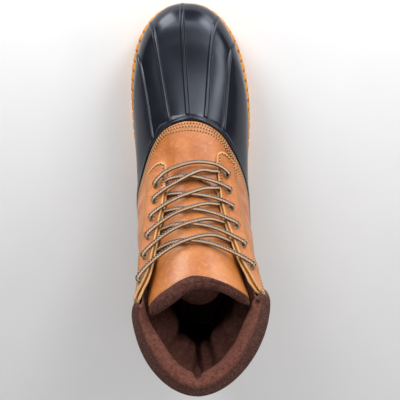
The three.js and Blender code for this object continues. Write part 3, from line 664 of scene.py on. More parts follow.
def wool_material(dark, light):
    """Flecked wool cloth, with a short woven grain."""
    recipe = Recipe("flecked wool")
    fleck = recipe.noise(0.9, 3, 0.75)
    cloud = recipe.noise(9, 2)
    base = recipe.blend(recipe.ramp(fleck, 0.4, 0.68), tuple(dark), tuple(light))
    base = recipe.blend(recipe.ramp(cloud, 0.3, 0.8, 0, 0.35), base, tuple(dark))
    fuzz = recipe.math("ADD", recipe.cells(0.8), recipe.noise(0.5, 3))
    recipe.set(
        Base_Color=base,
        Roughness=0.95,
        Normal=recipe.bump(fuzz, 0.3, 0.7),
        Specular_IOR_Level=0.15,
    )
    return recipe.material


def fleece_material(name, dark, light):
    """Short fleece, in soft clumps."""
    recipe = Recipe(name)
    clump = recipe.noise(2.6, 4, 0.65, distortion=1.2)
    pile = recipe.noise(0.6, 3, 0.7)
    base = recipe.blend(recipe.ramp(clump, 0.3, 0.75), tuple(dark), tuple(light))
    tall = recipe.bump(clump, 0.8, 0.6)
    recipe.set(
        Base_Color=base,
        Roughness=1.0,
        Normal=recipe.bump(pile, 0.35, 0.7, tall),
        Specular_IOR_Level=0.1,
    )
    return recipe.material


def brass_material(tint):
    recipe = Recipe("aged brass")
    tarnish = recipe.noise(1.1, 3)
    recipe.set(
        Base_Color=recipe.blend(recipe.ramp(tarnish, 0.35, 0.7), tuple(tint), shaded(tint, 0.35)),
        Metallic=0.6,
        Roughness=recipe.ramp(tarnish, 0.3, 0.7, 0.3, 0.55),
    )
    return recipe.material


def lace_material(navy, white, cream):
    """A round braid: two cream stripes along the cord between plaits of navy and white."""
    recipe = Recipe("braided lace")
    split = recipe.node("ShaderNodeSeparateXYZ", {0: recipe.coordinates.outputs["UV"]})
    round_cord = split.outputs[0]
    along_cord = split.outputs[1]
    slant = recipe.math("PINGPONG", recipe.math("MULTIPLY", round_cord, 8.0), 1.0)
    plait = recipe.math("FRACT", recipe.math("ADD", along_cord, recipe.math("MULTIPLY", slant, 0.5)))
    checks = recipe.blend(recipe.math("GREATER_THAN", plait, 0.82), tuple(navy), tuple(white))
    stripe = recipe.math("PINGPONG", recipe.math("MULTIPLY", round_cord, 4.0), 1.0)
    tint = recipe.blend(recipe.ramp(plait, 0.2, 0.9, 0, 0.5), tuple(cream), tuple(white))
    zigzag = recipe.math("PINGPONG", recipe.math("MULTIPLY", along_cord, 2.0), 1.0)
    on_stripe = recipe.math("GREATER_THAN", stripe, recipe.math("MULTIPLY_ADD", zigzag, 0.28, 0.66))
    recipe.set(
        Base_Color=recipe.blend(on_stripe, checks, tint),
        Roughness=0.75,
        Normal=recipe.bump(recipe.noise(0.3, 2), 0.05, 0.5),
    )
    return recipe.material


def floor_material():
    recipe = Recipe("studio floor")
    tint = recipe.blend(recipe.noise(60, 2), (0.76, 0.76, 0.77, 1), (0.79, 0.79, 0.79, 1))
    recipe.set(Base_Color=tint, Roughness=0.9)
    return recipe.material


# Rubber shell

RIB_HEIGHTS = ((0, 0), (0.14, 0), (0.21, 0.25), (0.31, 0.7), (0.42, 1), (0.7, 1), (0.9, 1), (1, 1))
RIB_HALF_WALKS = (0.4, 0.75, 0.95, 1.3, 1.65, 1.8, 2.0, 2.15, 2.6, 3.3, 4.2)
RIB_WALKS = (*(-walk for walk in reversed(RIB_HALF_WALKS)), 0, *RIB_HALF_WALKS)
RIB_PROFILE = (
    (0, 0.9), (0.4, 0.92), (0.75, 1), (0.95, 0.97), (1.65, 0.62), (1.8, 0.5), (2.0, 0.06), (2.15, 0),
    (4.2, 0),
)
BAND_PROFILE = (
    (0, 0), (0.06, 0.3), (0.12, 0.85), (0.2, 1), (0.35, 0.86), (0.55, 0.74), (0.66, 0.86),
    (0.74, 1.02), (0.82, 0.84), (0.88, 0.3), (0.94, -0.7), (1, -1.7),
)


def shell_columns():
    """Columns round the shell, each a share of the way from one rib's walk to the next one's."""
    columns = []
    ribs = list(RIB_ANGLES) + [RIB_ANGLES[0] + 2 * math.pi]
    for rib, following in zip(ribs, ribs[1:]):
        columns += [(rib, walk, rib, walk, 0.0) for walk in RIB_WALKS]
        cells = max(int(round(math.degrees(following - rib) / 2.2)), 8)
        columns += [(rib, RIB_WALKS[-1], following, RIB_WALKS[0], i / cells) for i in range(1, cells)]
    columns.append((ribs[-1], RIB_WALKS[0], ribs[-1], RIB_WALKS[0], 0.0))
    return np.array(columns)


def leaning(angle, level):
    """The angle of a rib at a level, from its angle at the band."""
    lean = np.interp(wrapped(angle), RIB_ANGLES, RIB_LEANS)
    return angle + lean * np.clip(1 - level / (EDGE - 1), 0, 1)


def rib_profile(walk):
    """A flat-topped rib with a chamfer along both sides."""
    return np.interp(np.abs(walk), *np.array(RIB_PROFILE).T)


def rubber_shell(sizes):
    columns = shell_columns()
    panel_rows = 64
    band_rows = 20
    inner_rows = 16
    floor_rows = 8
    rows = panel_rows + band_rows + inner_rows + floor_rows

    def shape(u, v):
        column = np.rint(u * (len(columns) - 1)).astype(int)
        row = np.rint(v * rows).astype(int)
        first, first_walk, second, second_walk, way = columns[column].T
        on_rib = (first == second).astype(float)
        base = mix(first, second, way)
        edge = edge_level(base)
        foot = edge - level_step(base, EDGE, BAND_WIDTH)
        share = np.clip(row / panel_rows, 0, 1)
        band = np.clip((row - panel_rows) / band_rows, 0, 1)
        inner = np.clip((row - panel_rows - band_rows) / inner_rows, 0, 1)
        floor = np.clip((row - panel_rows - band_rows - inner_rows) / floor_rows, 0, 1)
        level = np.where(band > 0, mix(foot, edge, band), share * foot)
        level = np.where(inner > 0, mix(edge, 0.3, inner), level)
        rib = rib_profile(first_walk) * along_table(RIB_HEIGHTS, share) * on_rib * sizes.rib_height
        rib = rib * (1 - smooth(band, 0, 0.12))
        out = along_table(BAND_PROFILE, band) * sizes.band_height + np.where(inner > 0, 0, rib)
        out = np.where(inner > 0, mix(-1.8, -float(SHELL_WALL), smooth(inner, 0, 0.1)), out)
        start = leaning(first, level) + angle_step(first, level, first_walk)
        end = leaning(second, level) + angle_step(second, level, second_walk)
        points = off_skin(mix(start, end, way), level, out)
        under = points.copy()
        centre_x = middle(points[:, 1])
        under[:, 0] = mix(points[:, 0], centre_x, floor)
        under[:, 1] = mix(points[:, 1], 150.0, floor * 0.12)
        under[:, 2] = sole_top(under[:, 1]) + SHELL_FLOOR
        return np.where((floor > 0)[:, None], under, points)

    return grid_mesh(len(columns) - 1, rows, shape)


# Outsole

# Where the gum's rim is wider or narrower: the angle round the boot, the half width, and the swell
RIM_SWELLS = (
    (0, 1.0, 0.9), (-0.85, 0.5, 1.3), (0.8, 0.5, 0.5), (1.9, 0.3, -1.3), (-1.9, 0.3, -1.3),
)
ZIGZAG_WIDTH = 18
ZIGZAG_REACH = 14


def outline_step(angle, distance):
    along = along_angle(angle, np.zeros_like(angle))
    along[..., 2] = 0
    along = unit(along)
    return np.stack([-along[..., 1], along[..., 0], np.zeros_like(angle)], axis=-1) * distance[..., None]


def outsole(sizes):
    slices = 420
    under_cells = 64
    wall_cells = 9
    top_cells = 6
    loop = 2 * under_cells + 2 * wall_cells + 2 * top_cells
    fine = np.linspace(0, math.pi, 2001)
    edge = skin(fine, np.zeros_like(fine))
    lengths = np.concatenate([[0], np.cumsum(np.linalg.norm(np.diff(edge, axis=0), axis=1))])
    half = under_cells + wall_cells + top_cells

    def notch(length, climb):
        """1 in the middle of the notches between the side ribs, and 0 on the ribs."""
        place_in_pitch = ((length + 3 * climb) / sizes.sole_rib_pitch) % 1
        return (1 - smooth(np.abs(place_in_pitch - 0.5), 0.07, 0.16)) * smooth(climb, 0.3, 0.45)

    def shape(u, v):
        length = np.rint(u * slices) / slices * lengths[-1]
        angle = np.interp(length, lengths, fine)
        step = np.rint(v * loop).astype(int)
        side = np.where(step <= half, 1.0, -1.0)
        place_in_half = np.where(step <= half, step, loop - step)
        across = np.clip(place_in_half / under_cells, 0, 1)
        climb = np.clip((place_in_half - under_cells) / wall_cells, 0, 1)
        inward = np.clip((place_in_half - under_cells - wall_cells) / top_cells, 0, 1)
        rim = SOLE_RIM + 0.5 - 0.9 * (1 - smooth(climb, 0, 0.35))
        for at, half_width, swell in RIM_SWELLS:
            rim = rim + swell * hump(side * angle, at, half_width)
        rim = rim - notch(length, climb) * sizes.sole_rib_depth - 0.4 * smooth(climb, 0.9, 1)
        outer = skin(side * angle, np.zeros_like(angle)) + outline_step(side * angle, rim)
        centre = np.stack([middle(outer[:, 1]), outer[:, 1], np.zeros_like(angle)], axis=-1)
        base = sole_under(outer[:, 1])
        top = sole_top(outer[:, 1]) - 0.3
        points = outer.copy()
        points[:, 0] = mix(centre[:, 0], outer[:, 0], np.where(inward > 0, 1 - inward, across))
        points[:, 2] = mix(base, top, climb)
        x = points[:, 0] - centre[:, 0]
        y = points[:, 1]
        zigzag = np.abs(((x / ZIGZAG_WIDTH) % 1) - 0.5) * ZIGZAG_REACH
        groove = smooth(np.abs((((y + zigzag) / sizes.lug_pitch) % 1) - 0.5), 0.3, 0.42)
        tread_zone = smooth(across, 0.999, 0.9) * (1 - smooth(climb, 0, 0.001))
        in_arch = smooth(y / LENGTH, 0.26, 0.29) * (1 - smooth(y / LENGTH, 0.46, 0.5))
        points[:, 2] += groove * tread_zone * (1 - in_arch) * sizes.lug_depth
        return points

    # cells in the notches take the second material, gum darkened to a fifth: painted shade in the notches
    def pick(u, v):
        place_in_half = np.where(v <= 0.5, v, 1 - v) * loop
        climb = np.clip((place_in_half - under_cells) / wall_cells, 0, 1)
        return ((notch(u * lengths[-1], climb) > 0.5) & (place_in_half > under_cells)).astype(int)

    return grid_mesh(slices, loop, shape, pick)


# Leather upper

CREASES = (
    # x, y, half width, half length, turn in degrees, depth; a positive depth is a trough
    (-27, 158, 7, 22, 12, 3.0),
    (24, 160, 6, 18, -14, 2.2),
    (0, 150, 26, 4.5, 4, 0.8),
    (-4, 139, 28, 3.5, -3, 0.7),
    (6, 166, 22, 5, -6, 0.5),
)
CREASE_COLUMNS = ("x", "y", "wide", "long", "turn", "depth")


def crease_depth(points):
    """How far the leather sinks in its soft folds."""
    total = np.zeros(len(points))
    for row in CREASES:
        crease = dict(zip(CREASE_COLUMNS, row))
        turn = math.radians(crease["turn"])
        x = points[:, 0] - crease["x"]
        y = points[:, 1] - crease["y"]
        over = x * math.cos(turn) + y * math.sin(turn)
        along = y * math.cos(turn) - x * math.sin(turn)
        total += crease["depth"] * np.exp(-((over / crease["wide"]) ** 2) - (along / crease["long"]) ** 2)
    return total


def side_folds(angle, level):
    """Soft slanting wrinkles in the quarters, over the ankle."""
    turn = np.abs(wrapped(angle))
    zone = smooth(turn, 0.9, 1.3) * (1 - smooth(turn, 2.0, 2.6)) * smooth(level, EDGE + 0.6, EDGE + 1.6)
    zone = zone * (1 - smooth(level, TOP - 1.4, TOP - 0.6))
    wave = np.sin(level * 5.2 + turn * 3.0 + 0.8 * np.sin(turn * 4))
    wave = wave + 0.5 * np.sin(level * 9.1 - turn * 2.2)
    return zone * wave * 0.45


def throat_edge(side, level):
    """The angle of the upper's inner edge: zero ahead of the throat, round at its front, then along it."""
    share = throat_share(level)
    opening = np.sqrt(np.clip(1 - (1 - np.clip(share / 0.1, 0, 1)) ** 2, 0, 1))
    return throat_angle(side, level) * opening


def upper_half(side):
    across = 90
    rows = 110
    # the share of the rows below the throat, and how much those above it gather at its start
    low_rows = 0.36
    gathering = 1.7

    def shape(u, v):
        start = (THROAT_START - EDGE) / (TOP - EDGE)
        above = np.clip((v - low_rows) / (1 - low_rows), 0, 1)
        share = np.where(v < low_rows, v / low_rows * start, start + above ** gathering * (1 - start))
        level = EDGE + share * (TOP - EDGE)
        for _ in range(3):
            edge = throat_edge(side, level)
            # the columns follow the throat's edge only close to it
            angle = side * (math.pi * u + edge * (1 - u) ** np.minimum(3.5, 2.4 / np.maximum(edge, 0.1)))
            low = leather_low(angle)
            high = leather_top(angle)
            level = mix(low, high, share)
        points = off_skin(angle, level, np.full(len(u), LEATHER_OUT))
        sunk = crease_depth(points) * smooth(level, low + 0.1, low + 0.6) + side_folds(angle, level)
        return points - outwards(angle, level) * sunk[:, None]

    def pick(u, v):
        return ((u < 1 / across) & (v > 0.5)).astype(int)

    return grid_mesh(across, rows, shape, pick)


def upper_leather():
    """Both halves of the upper, welded at the heel and at the toe."""
    whole = joined([upper_half(-1), upper_half(1)], False)
    bmesh.ops.remove_doubles(whole, verts=whole.verts, dist=WELD_SEAM)
    return whole


def eyestay_place(side, walk, level):
    """The angle at a walk out from an eyestay's edge, which draws back towards the top."""
    setback = EYESTAY_SETBACK + EYESTAY_DRAW_BACK * smooth(throat_share(level), 0.78, 1)
    inner = throat_angle(side, level) + angle_step(1.0, level, setback)
    return inner + angle_step(inner, level, walk)


def eyestay_rounding(wide):
    off = np.maximum(EYESTAY_CORNER - wide, 0)
    return EYESTAY_CORNER - np.sqrt(EYESTAY_CORNER ** 2 - off ** 2)


def eyestay_point(side, s, t):
    """A point on an eyestay's face: s runs out from the throat's edge, and t from its front to its top."""
    wide = s * EYESTAY_WIDTH
    walk = s * (EYESTAY_WIDTH - EYESTAY_NARROWING * smooth(t, 0.84, 1))
    front = skew_level(side, throat_level(EYESTAY_FRONT))
    start = front + level_step(math.radians(40), front, eyestay_rounding(wide))
    end = np.full(len(s), float(TOP))
    for _ in range(4):
        end = leather_top(side * eyestay_place(side, walk, end)) - 0.06
    level = mix(start, end, t)
    angle = side * eyestay_place(side, walk, level)
    return angle, level, off_skin(angle, level, np.full(len(s), OVERLAY_OUT))


def eyestay(side):
    """An overlay beside the throat, with a lip that stands up along the throat's edge."""
    across = 26
    along = 120
    lip = 1.3
    lip_width = 7

    def shape(u, v):
        s = u ** 1.4
        angle, level, points = eyestay_point(side, s, v)
        raised = lip * (1 - smooth(s * EYESTAY_WIDTH, 0, lip_width)) * smooth(v, 0.12, 0.3)
        sunk = crease_depth(points) * 0.5 - raised
        return points - outwards(angle, level) * sunk[:, None]

    def pick(u, v):
        return ((u < 2 / across) | (v < 1 / along)).astype(int)

    return grid_mesh(across, along, shape, pick)


# Stitching

def level_row(start, end, distance):
    """A row at a distance above the shell's edge, between two angles."""
    angle = np.linspace(start, end, 1200)
    level = edge_level(angle) + level_step(angle, EDGE, distance)
    return off_skin(angle, level, np.full(len(angle), LEATHER_OUT)), outwards(angle, level)


def eyestay_row(side, s_ends, t_ends, count=400):
    angle, level, points = eyestay_point(side, np.linspace(*s_ends, count), np.linspace(*t_ends, count))
    return points, outwards(angle, level)


def stitch_places(row, pitch):
    points, normals = row
    lengths = np.concatenate([[0], np.cumsum(np.linalg.norm(np.diff(points, axis=0), axis=1))])
    count = max(int(lengths[-1] / pitch), 1)
    wanted = (np.arange(count) + 0.5) * lengths[-1] / count

    def at(where):
        return np.stack([np.interp(where, lengths, points[:, k]) for k in range(3)], axis=1)

    normal = np.stack([np.interp(wanted, lengths, normals[:, k]) for k in range(3)], axis=1)
    ahead = at(np.minimum(wanted + 0.4, lengths[-1]))
    behind = at(np.maximum(wanted - 0.4, 0))
    return at(wanted), ahead - behind, normal


def capsule(length, width, height):
    bm = bmesh.new()
    bmesh.ops.create_uvsphere(bm, u_segments=6, v_segments=5, radius=0.5)
    bmesh.ops.rotate(bm, verts=bm.verts, cent=(0, 0, 0), matrix=Matrix.Rotation(math.pi / 2, 3, "Y"))
    bmesh.ops.scale(bm, verts=bm.verts, vec=(length, width, height))
    return bm


# Rows round the boot: the distance above the shell's edge, and the degrees to each side of the toe
LEVEL_ROWS = ((2.2, 180), (4.6, 180), (7.0, 110))
# Rows along an eyestay and across its front, in shares of its width and of its length
INNER_ROW = 0.13
OUTER_ROWS = (0.86, 0.95)
FRONT_ROW = 0.018
ROW_TOP = 0.985


def stitch_rows():
    rows = [level_row(math.radians(-reach), math.radians(reach), distance) for distance, reach in LEVEL_ROWS]
    for side in (-1, 1):
        rows.append(eyestay_row(side, (INNER_ROW, INNER_ROW), (0, ROW_TOP)))
        for s in OUTER_ROWS:
            rows.append(eyestay_row(side, (s, s), (0.03, ROW_TOP)))
        rows.append(eyestay_row(side, (INNER_ROW, OUTER_ROWS[0]), (FRONT_ROW, FRONT_ROW), 200))
    return rows


# Eyelets

def eyelet_place(side, index):
    share = mix(EYELET_FIRST, EYELET_LAST, index / (EYELETS_A_SIDE - 1))
    level = skew_level(side, throat_level(share))
    edge = throat_angle(side, level)
    angle = side * (edge + angle_step(edge, level, EYELET_INSET))
    return skin(angle, level), outwards(angle, level), level


# The half section of an eyelet's ring: radius and height
EYELET_PROFILE = (
    (1.6, -0.4), (1.6, 0.4), (1.8, 0.75), (2.15, 0.85), (2.55, 0.65), (2.85, 0.25), (2.85, 0.05), (1.9, 0),
)


def eyelet_ring():
    """A rolled ring, spun from its half section, in millimetres round Z."""
    bm = bmesh.new()
    corners = [bm.verts.new((radius, 0, height)) for radius, height in EYELET_PROFILE]
    edges = [bm.edges.new(pair) for pair in zip(corners, corners[1:])]
    edges.append(bm.edges.new((corners[-1], corners[0])))
    bmesh.ops.spin(bm, geom=corners + edges, cent=(0, 0, 0), axis=(0, 0, 1), angle=2 * math.pi,
                   steps=20, use_merge=True)
    bmesh.ops.remove_doubles(bm, verts=bm.verts, dist=1e-5)
    bmesh.ops.recalc_face_normals(bm, faces=bm.faces)
    return bm


# Collar and lining

def stacked(like, rows):
    return np.stack([row + np.zeros(len(like)) for row in rows])


def follow(table, place_in_table):
    """The value of each column of a table at its own place between the rows, on a smooth curve."""
    last = len(table) - 1
    i = np.clip(np.floor(place_in_table).astype(int), 0, last - 1)
    column = np.arange(table.shape[1])
    return catmull(table[np.maximum(i - 1, 0), column], table[i, column], table[i + 1, column],
                   table[np.minimum(i + 2, last), column], place_in_table - i)


def collar_start(side):
    corner = throat_angle(side, float(TOP))
    return float(corner + angle_step(corner, float(TOP), COLLAR_SETBACK))


def collar_padding(angle):
    turn = np.abs(wrapped(angle))
    corner = np.where(np.sin(angle) < 0, collar_start(-1), collar_start(1))
    padding = mix(0.25, 1, smooth(turn, corner, corner + math.radians(50)))
    bulge = LEATHER_OUT + 4.5 * mix(0.4, 1, smooth(turn, corner, corner + math.radians(18)))
    return turn, padding, bulge


def collar_band(sizes):
    """The padded band outside, from the leather's top edge to the seam on top, and back inside itself."""
    count = 220
    around = 40
    pad = sizes.collar_pad

    def shape(u, v):
        angle = mix(collar_start(1), 2 * math.pi - collar_start(-1), u)
        turn, padding, bulge = collar_padding(angle)
        edge = leather_top(angle) + level_step(turn, TOP - 0.5, 0.3)
        step = level_step(turn, TOP - 0.5, 1.0)
        full = float(TOP)
        levels = stacked(u, [
            edge + 0.3 * step, mix(edge, full, 0.14) + 0.4 * step, mix(edge, full, 0.34) + 0.5 * step,
            mix(edge, full, 0.65) + 1.0 * step, full + 0.6 * step, full + 2.9 * step, full + 3.6 * step,
            full + 2.2 * step, full - 6 * step, edge + 2 * step, edge + 0.3 * step,
        ])
        outs = stacked(u, [
            LEATHER_OUT - 0.6, mix(LEATHER_OUT, bulge, 0.62), mix(LEATHER_OUT, bulge, 0.92),
            bulge, mix(LEATHER_OUT, bulge, 0.72), -0.12 * pad * padding, -0.4 * pad * padding,
            -0.5 * pad * padding, -0.5 * pad * padding, LEATHER_IN, LEATHER_OUT - 0.6,
        ])
        spot = v * (len(levels) - 1)
        return off_skin(angle, follow(levels, spot), follow(outs, spot))

    bm = grid_mesh(count, around, shape)
    return close_ends(bm)


def close_ends(bm):
    edges = [edge for edge in bm.edges if edge.is_boundary]
    bmesh.ops.holes_fill(bm, edges=edges, sides=0)
    return bm


# How far below the top seam each of the lining's rows lies
LINING_DEPTHS = (-4, -3, -2, 1, 8, 14, 22, 32, 44, 60, 85, 105, 125, 140)
# How far in the padded rows lie, in shares of the padding, and the rows below them in millimetres
LINING_PADS = (0.48, 0.6, 0.8, 1.05, 1.1, 0.6, 0.6, 1.05, 1.3)
LINING_OUTS = (-5.5, -5.0, -5.2, -5.6, -6.0)
# The row of the crease under the padding; below it the lining takes half-bright fleece, painted shade deep
# in the shaft
LINING_CREASE = 5.2


def lining_fold(angle, depth):
    """Soft upright folds in the fleece, deeper further down, with a pinch at the back seam."""
    away = np.abs(wrapped(angle - math.pi))
    down = smooth(depth, 4, 30)
    waves = 2.2 * np.sin(angle * 9 + 0.8) + 1.5 * np.sin(angle * 15 + depth * 0.06)
    waves = waves + np.sin(angle * 23 - 1)
    pinch = 10 * hump(away, 0, 0.1)
    return down * waves * smooth(away, 0.05, 0.3) + pinch * smooth(depth, -2, 8)


def lining(sizes):
    """The fleece inside, from the collar's top seam down to the insole."""
    count = 240
    along = 120
    pad = sizes.collar_pad

    def shape(u, v):
        angle = mix(collar_start(1) - 0.02, 2 * math.pi - collar_start(-1) + 0.02, u)
        turn, padding, _ = collar_padding(angle)
        step = level_step(turn, TOP - 0.5, 1.0)
        full = float(TOP)
        levels = stacked(u, [
            full + 0.8 * step, full + 3.7 * step, full + 3.6 * step, full - 1 * step, full - 8 * step,
            full - 14 * step, full - 22 * step, full - 32 * step, full - 44 * step, mix(full, EDGE, 0.55),
            mix(full, EDGE, 0.8), EDGE, 3.0, 0.9,
        ])
        outs = stacked(u, [*(-share * pad * padding for share in LINING_PADS), *LINING_OUTS])
        spot = v * (len(levels) - 1)
        depth = np.interp(spot, np.arange(len(LINING_DEPTHS)), LINING_DEPTHS)
        fold = lining_fold(angle, depth) * np.minimum(padding, 1)
        return off_skin(angle, follow(levels, spot), np.minimum(follow(outs, spot) + fold, -2.9))

    # rows below the crease take the half-bright fleece: painted shade deep inside the boot
    def pick(u, v):
        return (v * (len(LINING_DEPTHS) - 1) > LINING_CREASE).astype(int)

    return grid_mesh(count, along, shape, pick)


# Tongue

def tongue_row(share):
    """The tongue's sizes at a share of the throat's length."""
    return {key: along_table([(row[0], row[i]) for row in TONGUE_ROWS], share)
            for i, key in enumerate(TONGUE_COLUMNS) if i}


def tongue_point(across, share, sink):
    """across runs from -1 to 1; sink is the way in from the face, in millimetres."""
    values = (np.asarray(value, float) for value in (across, share, sink))
    across, share, sink = np.broadcast_arrays(*values)
    row = tongue_row(share)
    half = row["half"] * SHAFT_WIDTH / 2
    level = throat_level(share)
    bend = across * TONGUE_BEND
    arch = row["arch"] * (1 - TONGUE_LEAN * across) * SHAFT_WIDTH / 2
    fall = arch * (1 - np.cos(bend)) / (1 - math.cos(TONGUE_BEND))
    tilt = np.radians(row["tilt"])
    down = np.stack([np.zeros_like(tilt), -np.cos(tilt), -np.sin(tilt)], axis=-1)
    zero = np.zeros_like(level)
    point = skin(zero, level) + outwards(zero, level) * row["lift"][..., None]
    point[..., 0] += half * np.sin(bend) / math.sin(TONGUE_BEND) - sink * np.sin(0.8 * bend)
    return point + down * (fall + sink * np.cos(0.8 * bend))[..., None]


# Where the fleece is gathered behind the tongue's rim, in shares of the tongue, and how far it stands out
LUMP_SHARE = 0.95
LUMP_HALF_WIDTH = 0.45
LUMP_HALF_LENGTH = 0.09
LUMP_DEPTH = 35


def tongue():
    """A leather face, a rolled fleece rim at its end, and the fleece back with its gathered lump."""
    leather_rows = 100
    rim_rows = 22
    end_rows = 12
    back_rows = 80
    rows = leather_rows + rim_rows + end_rows + back_rows
    ends = np.array(TONGUE_ENDS)
    lump_way = unit(tongue_point([0.0], [LUMP_SHARE], [1.0]) - tongue_point([0.0], [LUMP_SHARE], [0.0]))

    def shape(u, v):
        row = np.rint(v * rows)
        across = 2 * u - 1
        leather_end = along_table(ends[:, (0, 1)], across)
        rim_end = along_table(ends[:, (0, 2)], across)
        face = np.clip(row / leather_rows, 0, 1)
        rim = np.clip((row - leather_rows) / rim_rows, 0, 1)
        end = np.clip((row - leather_rows - rim_rows) / end_rows, 0, 1)
        back = np.clip((row - leather_rows - rim_rows - end_rows) / back_rows, 0, 1)
        share = np.where(rim > 0, mix(leather_end, rim_end, rim), mix(-0.2, leather_end, face))
        share = mix(share, -0.2, back)
        thickness = tongue_row(share)["pad"] * TONGUE_THICKNESS
        thickness = thickness * (1 - np.abs(across) ** 10) ** 0.5
        turn = end * math.pi
        sink = thickness * (1 - np.cos(turn)) / 2
        rolled = 1.5 * np.sqrt(np.clip(1 - (2 * rim - 1) ** 2, 0, 1)) * (1 - np.abs(across) ** 6)
        seam = 0.9 * hump(share, leather_end, 0.008) * (back == 0)
        off_lump = np.hypot((across - 0.02) / LUMP_HALF_WIDTH, (share - LUMP_SHARE) / LUMP_HALF_LENGTH)
        lump = LUMP_DEPTH * np.sqrt(np.clip(1 - off_lump ** 2, 0, 1)) * (back > 0)
        share = share + 0.022 * np.sin(turn)
        points = tongue_point(across, share, sink - rolled * (end == 0) + seam)
        return points + lump[:, None] * lump_way

    def pick(u, v):
        return (v * rows > leather_rows).astype(int)

    return grid_mesh(72, rows, shape, pick)


# Insole

def insole():
    count = 160
    rings = 26

    def shape(u, v):
        angle = u * 2 * math.pi
        row = np.rint(v * rings)
        rise = np.clip(row / 4, 0, 1)
        inward = np.clip((row - 4) / (rings - 4), 0, 1)
        level = mix(0.3, 0.7, rise)
        edge = off_skin(angle, level, np.full(len(u), -SHELL_WALL - 2.4))
        centre = middle(edge[:, 1])
        points = edge.copy()
        points[:, 0] = mix(edge[:, 0], centre, inward)
        height = 3.45 + INSOLE_THICKNESS * smooth(rise, 0, 1)
        dish = -1.2 * smooth(inward, 0.05, 0.5)
        points[:, 2] = sole_top(points[:, 1]) + height + dish
        return points

    return grid_mesh(count, rings, shape)


# Laces

LACE_OVER = 1.8 + 0.45
VAMP_LACE_SHARE = 0.08
# Heights of the cord over an eyelet's foot, from where it stands over the ring down to its hidden end
EYELET_DIVE = (OVERLAY_OUT + 3.2, OVERLAY_OUT + 0.4, -1.6)


def eyelet_level(side, index):
    return eyelet_place(side, index)[2]


def over_eyelet(side, index, height):
    at, out, _ = eyelet_place(side, index)
    return at + out * height


def over_eyestay(side, level, walk):
    edge = throat_angle(side, level)
    angle = side * (edge + angle_step(edge, level, walk))
    return off_skin(angle, level, OVERLAY_OUT + LACE_OVER + 0.6)


def over_tongue(across, level, lift):
    """A point over the tongue, or over the vamp ahead of it, at a share of the throat's gap."""
    share = throat_share(level)
    side = 1 if across >= 0 else -1
    edge = throat_angle(side, level)
    if share < VAMP_LACE_SHARE:
        return off_skin(across * edge, level, LEATHER_OUT + LACE_OVER + lift)
    half = tongue_row(share)["half"] * SHAFT_WIDTH / 2
    gap = skin(edge, level)[0] - middle(skin(0.0, level)[1])
    bend = math.asin(min(max(abs(across) * gap * math.sin(TONGUE_BEND) / half, 0), 1)) / TONGUE_BEND
    return tongue_point(side * bend, share, -(LACE_OVER + lift))


def strand(side, index, lift):
    """A strand from under one eyestay, over the tongue and into the other side's next eyelet."""
    start = eyelet_level(-side, index)
    end = eyelet_level(side, index + 1)

    def level(t):
        return mix(start, end, t)

    return [
        over_eyelet(-side, index, -3.2),
        over_tongue(-side * 0.97, level(0.1), -0.4),
        over_tongue(-side * 0.84, level(0.17), 0.4),
        over_tongue(-side * 0.4, level(0.28), 0.7 + lift),
        over_tongue(0, level(0.45), 0.9 + lift),
        over_tongue(side * 0.45, level(0.66), 1.2 + lift),
        over_eyestay(side, level(0.84), 1),
        *(over_eyelet(side, index + 1, height) for height in EYELET_DIVE),
    ]


def bar_points():
    """The first bar, from one side's front eyelet over the vamp into the other's."""
    def level(share):
        return mix(eyelet_level(-1, 0), eyelet_level(1, 0), share) - LACE_BAR_LEAD

    height = OVERLAY_OUT + LACE_OVER + 1
    return [
        *(over_eyelet(-1, 0, dive) for dive in reversed(EYELET_DIVE)),
        over_eyestay(-1, level(0.15), 1),
        off_skin(-0.3, level(0.35), height),
        off_skin(0.0, level(0.5), height),
        off_skin(0.3, level(0.65), height),
        over_eyestay(1, level(0.85), 1),
        *(over_eyelet(1, 0, dive) for dive in EYELET_DIVE),
    ]


def lace_tube(points, sizes):
    """A braided round cord along a route, with the plaits' low relief."""
    around = 20
    spacing = 0.62
    path = route(points, spacing)
    _, sides, ups = frames_along(path)
    cells = len(path) - 1
    pitch = sizes.braid_pitch

    def shape(u, v):
        i = np.rint(v * cells).astype(int)
        turn = u * 2 * math.pi
        plait = np.abs((u * 8) % 2 - 1) * 0.5 + v * cells * spacing / pitch
        relief = 0.1 * np.cos(2 * math.pi * plait) * sizes.lace_diameter / 4
        radius = sizes.lace_diameter / 2 - 0.1 + relief
        left = np.minimum(i, cells - i)
        radius = radius - 0.4 * (1 - smooth(left * spacing, 3, 7))
        end = np.minimum(left / 2, 1)
        radius = radius * np.sqrt(end)
        offset = sides[i] * (np.cos(turn) * radius)[:, None] + ups[i] * (np.sin(turn) * radius)[:, None]
        return path[i] + offset

    bm = grid_mesh(around, cells, shape)
    scale_uv(bm, 1, cells * spacing / pitch)
    return bm


# Stage

def stage_floor():
    bm = bmesh.new()
    bmesh.ops.create_grid(bm, x_segments=1, y_segments=1, size=6)
    mesh = bpy.data.meshes.new("floor")
    bm.to_mesh(mesh)
    bm.free()
    floor = bpy.data.objects.new("floor", mesh)
    bpy.context.scene.collection.objects.link(floor)
    mesh.materials.append(floor_material())


def soft_light(name, at, aim, size, power):
    lamp = bpy.data.lights.new(name, "AREA")
    lamp.shape = "RECTANGLE"
    lamp.size = size[0]
    lamp.size_y = size[1]
    lamp.energy = power
    light = bpy.data.objects.new(name, lamp)
    light.location = at
    light.rotation_euler = (Vector(aim) - Vector(at)).to_track_quat("-Z", "Y").to_euler()
    bpy.context.scene.collection.objects.link(light)


